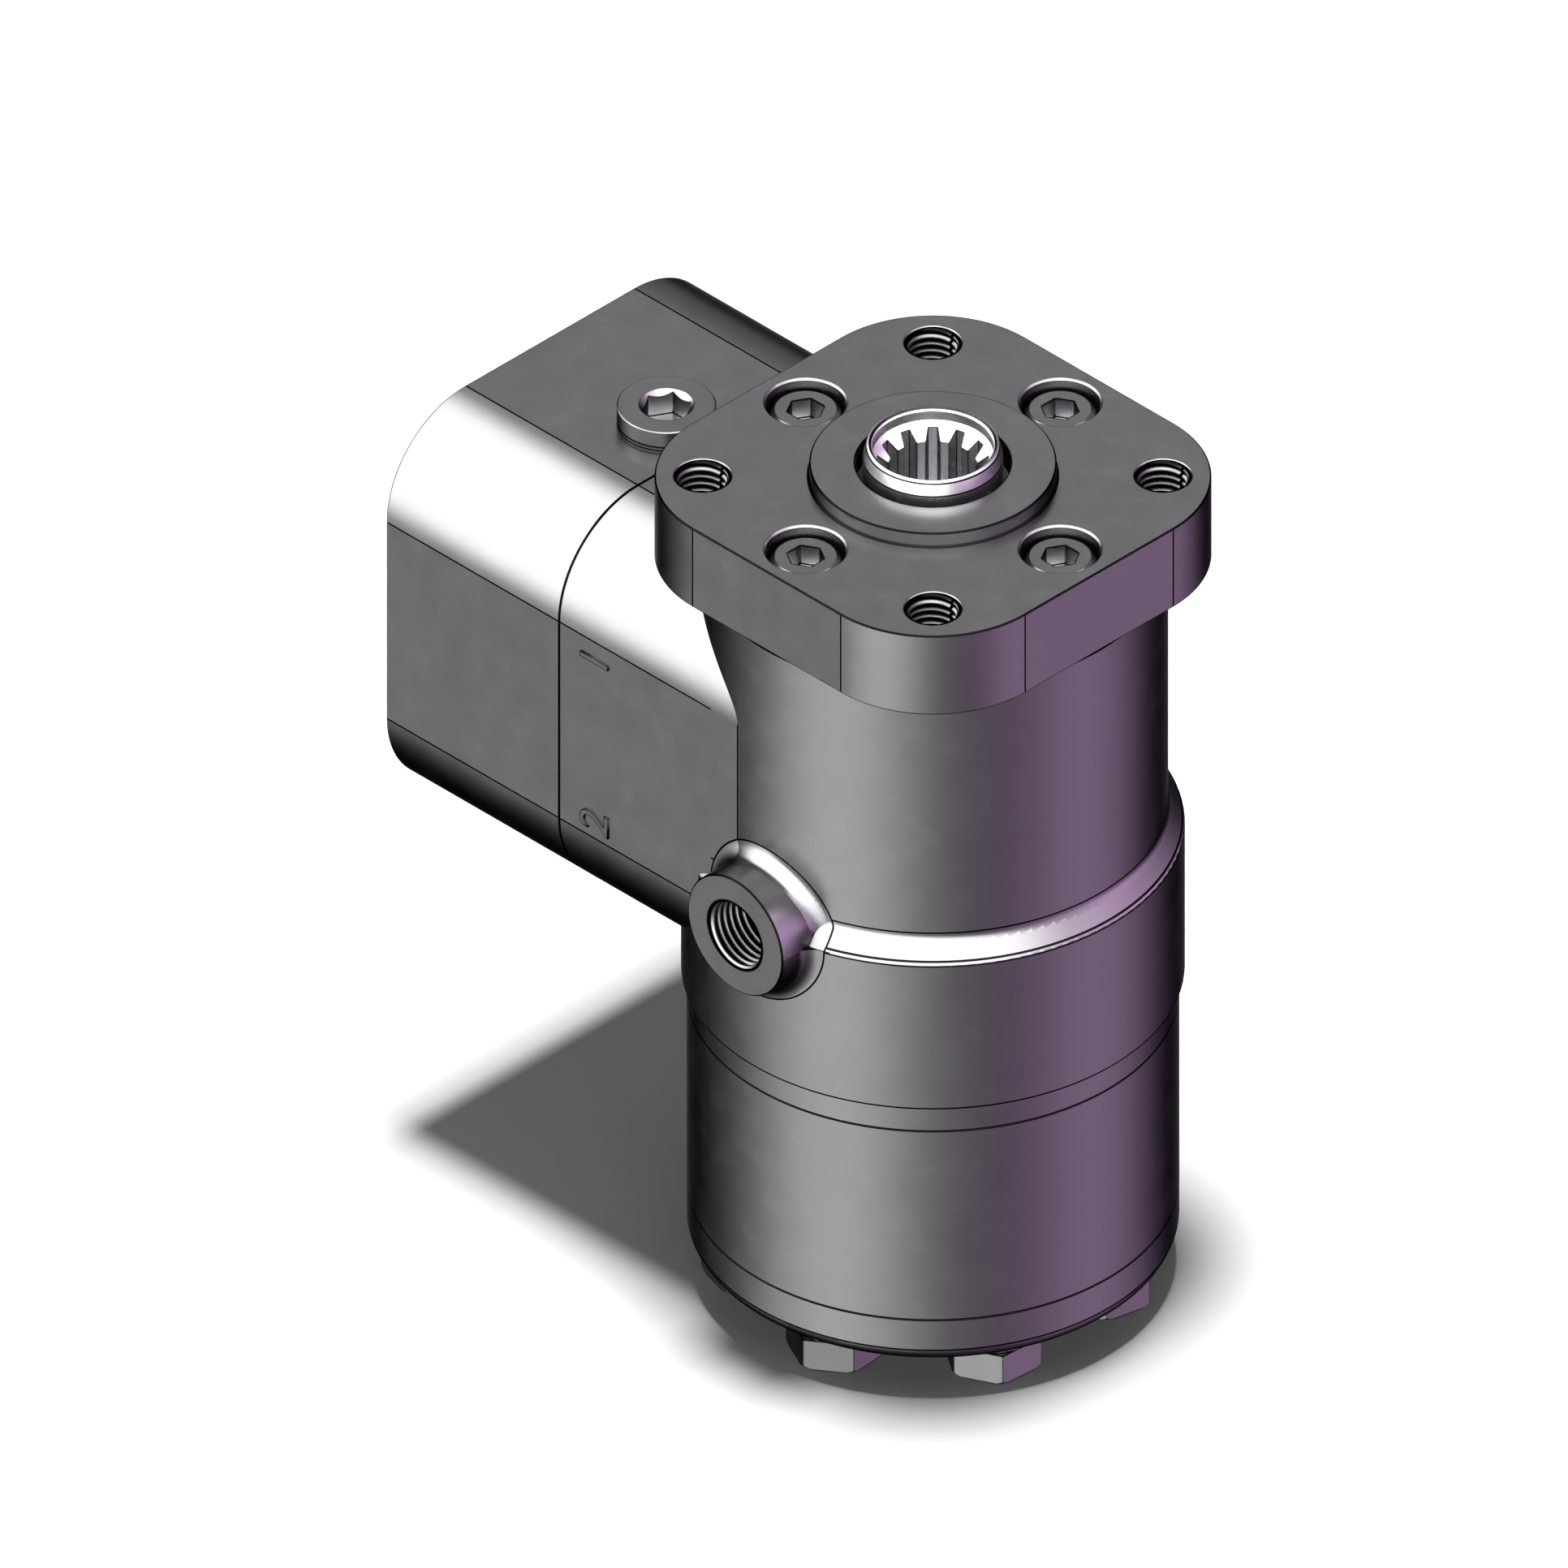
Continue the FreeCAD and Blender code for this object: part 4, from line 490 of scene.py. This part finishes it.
# Colours of the finishes, the painted light inside sockets, and the roughness of a machined face
OILED_IRON = (0.15, 0.15, 0.152)
GROUND_STEEL = (0.24, 0.24, 0.243)
HARDENED_STEEL = (0.38, 0.38, 0.39)
BLUED_STEEL = (0.16, 0.17, 0.21)
NITRILE = (0.025, 0.025, 0.027)
SOCKET_PAINTED_LIGHT = 0.36
MACHINED = 0.26
FINISHES = {
    "casting": metal("machined_iron", OILED_IRON, MACHINED, grain_scale=800.0, lines=casting_lines),
    "flange_iron": metal("milled_iron", OILED_IRON, MACHINED, lines=flange_lines, painted_light_and_shade=flange_painted_shade_and_light),
    "gear_steel": metal("turned_steel", OILED_IRON, MACHINED, lathe=0.4, lines=stack_lines),
    "bolt_steel": metal("phosphated_steel", OILED_IRON, MACHINED, recess_painted_light=SOCKET_PAINTED_LIGHT),
    "plug_steel": metal("turned_plug_steel", OILED_IRON, MACHINED, recess_painted_light=SOCKET_PAINTED_LIGHT),
    "spool_steel": metal("ground_steel", GROUND_STEEL, MACHINED, lathe=0.3, lathe_pitch=0.15 * MM,
                         lines=spool_lines, painted_light_and_shade=spool_painted_light),
    "inner_steel": metal("hardened_steel", HARDENED_STEEL, roughness=0.25),
    "spring_steel": metal("blued_spring_steel", BLUED_STEEL, roughness=0.30),
    "seal_rubber": rubber("nitrile_rubber", NITRILE),
}


def dress_nodes():
    """Every CAD node takes the finish of its material slot."""
    for name, slot in SLOTS.items():
        for place in NODES[name].material_slots:
            place.material = FINISHES[slot]


# Pieces


def placed(name, data):
    """New object in the scene."""
    made = bpy.data.objects.new(name, data)
    bpy.context.scene.collection.objects.link(made)
    return made


def piece(name, mesh, body, slot):
    """New object that takes the slot's finish and rides on a body, where one is given."""
    made = placed(name, mesh)
    mesh.materials.clear()
    mesh.materials.append(FINISHES[slot])
    if body:
        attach(made, body)
    return made


def aim(direction, place):
    """Matrix that turns +Z to a direction and moves the origin to a place."""
    turn = Vector((0, 0, 1)).rotation_difference(Vector(direction)).to_matrix().to_4x4()
    return Matrix.Translation(Vector(place)) @ turn


THREAD_STEPS = 60
THREAD_WALL = 0.02 * MM
# Shares of the pitch: the ridge's height, and the root's flat, a flank and the crest's flat along it
RIDGE_H = 0.54
ROOT_FLAT = 1 / 8
FLANK = 5 / 16
CREST_FLAT = 1 / 4


def thread_liner(name, major_r, pitch, depth, mouth_r, direction, place, body, slot):
    """Inner thread as a closed sleeve in a plain hole, from its mouth at place to a depth inwards."""
    minor_r = major_r - RIDGE_H * pitch
    outer_r = major_r - THREAD_WALL
    root_r = outer_r - THREAD_WALL
    crest = ROOT_FLAT + FLANK
    profile = ((0.0, root_r), (ROOT_FLAT, root_r), (crest, minor_r), (crest + CREST_FLAT, minor_r))
    turns = int(depth / pitch) + 2
    mesh = bpy.data.meshes.new(name)
    build = bmesh.new()

    def radius_at(step, k):
        share, radius = profile[k % len(profile)]
        z = -depth - pitch + pitch * (k // len(profile) + share + step / THREAD_STEPS)
        return radius, z

    def held(radius, z):
        """Keeps a point inside the sleeve's ends and the mouth's cone."""
        z = min(max(z, -depth), 0.0)
        cone_r = mouth_r + z
        return min(max(radius, cone_r), root_r), z

    count = turns * len(profile)
    rows = []
    for step in range(THREAD_STEPS):
        angle = 2 * math.pi * step / THREAD_STEPS
        row = []
        for k in range(count):
            radius, z = held(*radius_at(step, k))
            row.append(build.verts.new((radius * math.cos(angle), radius * math.sin(angle), z)))
        low = build.verts.new((outer_r * math.cos(angle), outer_r * math.sin(angle), -depth))
        high = build.verts.new((outer_r * math.cos(angle), outer_r * math.sin(angle), 0.0))
        rows.append((row, low, high))
    for step in range(THREAD_STEPS):
        row, low, high = rows[step]
        next_row, next_low, next_high = rows[(step + 1) % THREAD_STEPS]
        jump = len(profile) if step == THREAD_STEPS - 1 else 0
        for k in range(count - 1 - jump):
            build.faces.new((row[k + jump], row[k + jump + 1], next_row[k + 1], next_row[k]))
        if jump:
            for k in range(jump):
                build.faces.new((row[k], row[k + 1], next_row[0]))
            for k in range(count - 1 - jump, count - 1):
                build.faces.new((row[-1], next_row[k + 1], next_row[k]))
        build.faces.new((row[0], next_row[0], next_low, low))
        build.faces.new((row[-1], high, next_high, next_row[-1]))
        build.faces.new((low, next_low, next_high, high))
    bmesh.ops.remove_doubles(build, verts=build.verts, dist=MERGE_REACH)
    bmesh.ops.dissolve_degenerate(build, edges=build.edges, dist=MERGE_REACH)
    bmesh.ops.recalc_face_normals(build, faces=build.faces)
    build.to_mesh(mesh)
    build.free()
    mesh.transform(aim(direction, place))
    return piece(name, mesh, body, slot)


COLUMN_THREAD = {"major_r": COLUMN_THREAD_R, "pitch": 1.5 * MM, "depth": 15.0 * MM, "mouth_r": 5.35 * MM}
SIDE_THREAD = {"major_r": 7.0 * MM, "pitch": 1.5 * MM, "depth": 12.8 * MM, "mouth_r": 6.6 * MM}
PORT_THREAD = {"major_r": 9.0 * MM, "pitch": 1.5 * MM, "depth": 13.8 * MM, "mouth_r": 9.6 * MM}
PORTS = ("pump_port", "tank_port", "left_port", "right_port")


def threads():
    pitch_r = MOUNTS["column_bolts"]["dims"]["pcd_mm"] * MM / 2
    for k in range(4):
        angle = math.radians(45 + 90 * k)
        place = (pitch_r * math.cos(angle), pitch_r * math.sin(angle), 0)
        thread_liner("column_thread_%d" % (k + 1), direction=(0, 0, 1), place=place, body="casing",
                     slot="flange_iron", **COLUMN_THREAD)
    boss_face_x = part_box("housing")[0][0]
    _x, boss_y, boss_z = MOUNTS["side_port"]["pos_m"]
    thread_liner("side_port_thread", direction=(-1, 0, 0), place=(boss_face_x, boss_y, boss_z),
                 body="casing", slot="casting", **SIDE_THREAD)
    end_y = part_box("valve_block")[1][1]
    for name in PORTS:
        x, _y, z = MOUNTS[name]["pos_m"]
        thread_liner(name + "_thread", direction=(0, 1, 0), place=(x, end_y, z), body="casing",
                     slot="casting", **PORT_THREAD)


# Plain numbers cast on the block's left side, one at each row of ports
NUMBER_H = 7.35 * MM
NUMBER_Y = 43.95 * MM
NUMBER_RISE = 0.25 * MM
NUMBER_BEVEL = 0.06 * MM
# Height of a figure as a share of the font's size
FIGURE_SHARE = 0.72


def port_numbers():
    side_x = -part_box("valve_block")[1][0]
    for text, port in (("1", "pump_port"), ("2", "left_port")):
        curve = bpy.data.curves.new("number_" + text, "FONT")
        curve.body = text
        curve.size = NUMBER_H / FIGURE_SHARE
        curve.align_x = "CENTER"
        curve.align_y = "CENTER"
        curve.extrude = NUMBER_RISE
        curve.bevel_depth = NUMBER_BEVEL
        source = placed("number_source_" + text, curve)
        bpy.context.view_layer.update()
        mesh = bpy.data.meshes.new_from_object(source)
        bpy.data.objects.remove(source)
        # The number's up is +Y and its right is +Z, and it faces -X
        turn = Matrix(((0, 0, -1), (0, 1, 0), (1, 0, 0))).to_4x4()
        z = MOUNTS[port]["pos_m"][2]
        mesh.transform(Matrix.Translation((side_x, NUMBER_Y, z)) @ turn)
        piece("port_number_" + text, mesh, "casing", "casting")


# Copies of the springs that the record lists as deforming with their joints
LEAF_STEP = 2.0 * MM
LEAF_STEPS = 10


def live_copy(node, mesh, name, body=None):
    """Piece with a node's shape in its place, with the node hidden."""
    made = piece(name, mesh, body, SLOTS[node])
    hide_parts(node)
    return made


def coil(node, joint):
    """Copy of a coil spring that rides on its joint's parent body."""
    made = live_copy(node, NODES[node].data.copy(), node + "_coil", joint["parent"])
    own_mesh(made)


def cut_across(build, place, way, clear=False):
    """Cuts a mesh with a plane across X and gives the cut's edges."""
    everything = build.verts[:] + build.edges[:] + build.faces[:]
    cut = bmesh.ops.bisect_plane(build, geom=everything, dist=MERGE_REACH, plane_co=(place, 0, 0),
                                 plane_no=(way, 0, 0), clear_inner=clear)
    return [item for item in cut["geom_cut"] if isinstance(item, bmesh.types.BMEdge)]


def leaves(node):
    """Leaf springs in two halves, each cut across into short lengths from the spool's middle outwards."""
    for side, name in ((-1, "_left"), (1, "_right")):
        build = bmesh.new()
        build.from_mesh(NODES[node].data)
        bmesh.ops.holes_fill(build, edges=cut_across(build, 0, side, clear=True))
        # Short lengths let the straight leaves follow the bend
        for step in range(1, LEAF_STEPS):
            cut_across(build, side * LEAF_STEP * step, 1)
        mesh = bpy.data.meshes.new(node + name)
        build.to_mesh(mesh)
        build.free()
        made = live_copy(node, mesh, node + name)
        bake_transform(made)


def springs():
    for joint in frame["record"]["behaviour"]["joints"]:
        for entry in joint.get("deforming_nodes", ()):
            if entry["mode"] == "bend":
                leaves(entry["node"])
            else:
                coil(entry["node"], joint)


# Stage


# The studio that the metal mirrors: directions are degrees round Z from +X and degrees above the horizon
DOME_AIM = (177, 44)
# Cosine of the angle from the dome's middle, and the dome's brightness there
DOME_FADE = ((-1.0, 0.02), (-0.4, 0.04), (-0.2, 0.25), (0.0, 0.5), (0.15, 1.5), (0.3, 3.8), (0.45, 7.2))
# Softboxes: direction, reach in degrees and colour
SOFTBOXES = (
    ((308, 3), 42, (2.7, 1.7, 2.9)),
    ((45, 0), 22, (1.5, 1.5, 1.5)),
)


def towards(degrees, height, length=1.0):
    """Point at a direction round Z and a height angle above the horizon."""
    flat = length * math.cos(math.radians(height))
    turn = math.radians(degrees)
    return (flat * math.cos(turn), flat * math.sin(turn), length * math.sin(math.radians(height)))


def closeness(tree, unit, direction):
    """Cosine of the angle between a unit vector and a fixed direction."""
    node = add(tree, "ShaderNodeVectorMath", operation="DOT_PRODUCT")
    link(tree, unit, node.inputs[0])
    node.inputs[1].default_value = towards(*direction)
    return node.outputs["Value"]


def studio(tree, vector):
    """Colour of the studio in the direction of a vector."""
    normal = add(tree, "ShaderNodeVectorMath", operation="NORMALIZE")
    link(tree, vector, normal.inputs[0])
    unit = normal.outputs["Vector"]
    dome = add(tree, "ShaderNodeValToRGB")
    stops = dome.color_ramp.elements
    for k, (cosine, brightness) in enumerate(DOME_FADE):
        share = (cosine + 1) / 2
        stop = stops[k] if k < 2 else stops.new(share)
        stop.position = share
        stop.color = (brightness, brightness, brightness, 1)
    link(tree, ramp(tree, closeness(tree, unit, DOME_AIM), -1, 1, 0, 1), dome.inputs["Fac"])
    total = dome.outputs["Color"]
    for direction, reach, colour in SOFTBOXES:
        # A bell of the angle: exp(-(angle / reach)^2), from the cosine of the angle
        sharpness = 1 / (1 - math.cos(math.radians(reach)))
        near = closeness(tree, unit, direction)
        bell = math_node(tree, "EXPONENT", math_node(tree, "MULTIPLY_ADD", near, sharpness, -sharpness))
        lit = add(tree, "ShaderNodeVectorMath", operation="MULTIPLY_ADD")
        link(tree, bell, lit.inputs[0])
        lit.inputs[1].default_value = colour
        link(tree, total, lit.inputs[2])
        total = lit.outputs["Vector"]
    return total


FLOOR_HALF = 4.0
FLOOR_TONE = 0.10
# Glow that lifts the shadow to the photograph's grey
SHADOW_TONE = 0.05
SHADOW_SUN = 36.0
SHADOW_SOFT = 8.0
# Painted contact shade on the floor: how far occlusion is sought, its darkness, and the openness where it
# starts and ends
CONTACT_REACH = 35.0 * MM
CONTACT_SHADE = 0.3
CONTACT_OPENNESS = (0.3, 0.95)
# Light that rough surfaces get from all round
FILL_LIGHT = 0.35


def indirect(tree, rays):
    """1 for rays that metal mirrors or glass lets through."""
    return either(tree, rays.outputs["Is Glossy Ray"], rays.outputs["Is Transmission Ray"])


def mixed_shader(tree, share, first, second):
    """The first shader where share is 0, and the second where it is 1."""
    mixed = add(tree, "ShaderNodeMixShader")
    for socket, source in zip(mixed.inputs, (share, first, second)):
        link(tree, source, socket)
    return mixed.outputs[0]


def floor_material():
    """White floor with a grey shadow, and painted shade where the object is near."""
    material, tree = new_material("floor_white")
    output = add(tree, "ShaderNodeOutputMaterial")
    diffuse = add(tree, "ShaderNodeBsdfDiffuse")
    contact = add(tree, "ShaderNodeAmbientOcclusion", samples=OCCLUSION_SAMPLES)
    contact.inputs["Distance"].default_value = CONTACT_REACH
    shade = ramp(tree, contact.outputs["AO"], *CONTACT_OPENNESS, CONTACT_SHADE * FLOOR_TONE, FLOOR_TONE)
    link(tree, shade, diffuse.inputs["Color"])
    rays = add(tree, "ShaderNodeLightPath")
    glow = add(tree, "ShaderNodeEmission", Color=(1, 1, 1, 1))
    link(tree, times(tree, rays.outputs["Is Camera Ray"], SHADOW_TONE), glow.inputs["Strength"])
    seen = add(tree, "ShaderNodeAddShader")
    link(tree, diffuse.outputs[0], seen.inputs[0])
    link(tree, glow.outputs[0], seen.inputs[1])
    # Mirrored and refracted rays pass through to the studio's lower half, and a view from below is open
    through = add(tree, "ShaderNodeBsdfTransparent")
    underside = add(tree, "ShaderNodeNewGeometry").outputs["Backfacing"]
    passing = either(tree, indirect(tree, rays), underside)
    shader = mixed_shader(tree, passing, seen.outputs[0], through.outputs[0])
    link(tree, shader, output.inputs["Surface"])
    return material


def floor():
    size = FLOOR_HALF
    z = CAD_BOX[0][2]
    corners = [(-size, -size, z), (size, -size, z), (size, size, z), (-size, size, z)]
    mesh = bpy.data.meshes.new("floor")
    mesh.from_pydata(corners, [], [(0, 1, 2, 3)])
    mesh.materials.append(floor_material())
    made = placed("floor", mesh)
    shadow_sun(made)


def shadow_sun(ground):
    """Sun straight above that lights the floor alone, so that the object's shadow lies under it."""
    light = bpy.data.lights.new("shadow_sun", "SUN")
    light.energy = SHADOW_SUN
    light.angle = math.radians(SHADOW_SOFT)
    made = placed("shadow_sun", light)
    lit = bpy.data.collections.new("floor_only")
    lit.objects.link(ground)
    made.light_linking.receiver_collection = lit


def world():
    """White to the camera, a plain fill to rough surfaces, and the studio to metal and glass."""
    made = bpy.data.worlds.new("studio")
    made.use_nodes = True
    tree = made.node_tree
    tree.nodes.clear()
    output = add(tree, "ShaderNodeOutputWorld")
    rays = add(tree, "ShaderNodeLightPath")
    coords = add(tree, "ShaderNodeTexCoord").outputs["Generated"]
    mirrored = add(tree, "ShaderNodeBackground", Strength=1.0)
    link(tree, studio(tree, coords), mirrored.inputs["Color"])
    plain = add(tree, "ShaderNodeBackground", Color=(1, 1, 1, 1))
    strength = ramp(tree, rays.outputs["Is Camera Ray"], 0, 1, FILL_LIGHT, 1.0)
    link(tree, strength, plain.inputs["Strength"])
    shader = mixed_shader(tree, indirect(tree, rays), plain.outputs[0], mirrored.outputs[0])
    link(tree, shader, output.inputs["Surface"])
    bpy.context.scene.world = made


# Lamps: name, direction, width in metres, watts and colour
LAMPS = (
    ("front_top", (225, 62), 0.9, 6.0, (1.0, 1.0, 1.0)),
    ("left_top", (138, 36), 0.6, 3.0, (1.0, 1.0, 1.0)),
    ("right_top", (310, 40), 0.6, 3.0, (1.0, 0.85, 1.0)),
)
LAMP_DISTANCE = 1.2
LAMP_TARGET = Vector((0, 0.03, -0.08))


def lights():
    for name, direction, width, watts, colour in LAMPS:
        light = bpy.data.lights.new(name, "AREA")
        light.shape = "DISK"
        light.size = width
        light.energy = watts
        light.color = colour
        place = towards(*direction, LAMP_DISTANCE)
        placed(name, light).matrix_world = aim(Vector(place) - LAMP_TARGET, place)


def camera():
    data = bpy.data.cameras.new("camera")
    data.type = "ORTHO"
    data.ortho_scale = VIEW_WIDTH
    data.clip_end = CAMERA_FAR
    made = placed("camera", data)
    target = VIEW_RIGHT * VIEW_SHIFT_RIGHT + VIEW_UP * VIEW_SHIFT_UP
    axes = Matrix((VIEW_RIGHT, VIEW_UP, VIEW_BACK)).transposed().to_4x4()
    made.matrix_world = Matrix.Translation(target + VIEW_BACK * CAMERA_DISTANCE) @ axes
    bpy.context.scene.camera = made


camera()
dress_nodes()
threads()
port_numbers()
springs()
floor()
world()
lights()
bpy.context.scene.view_settings.view_transform = "Standard"
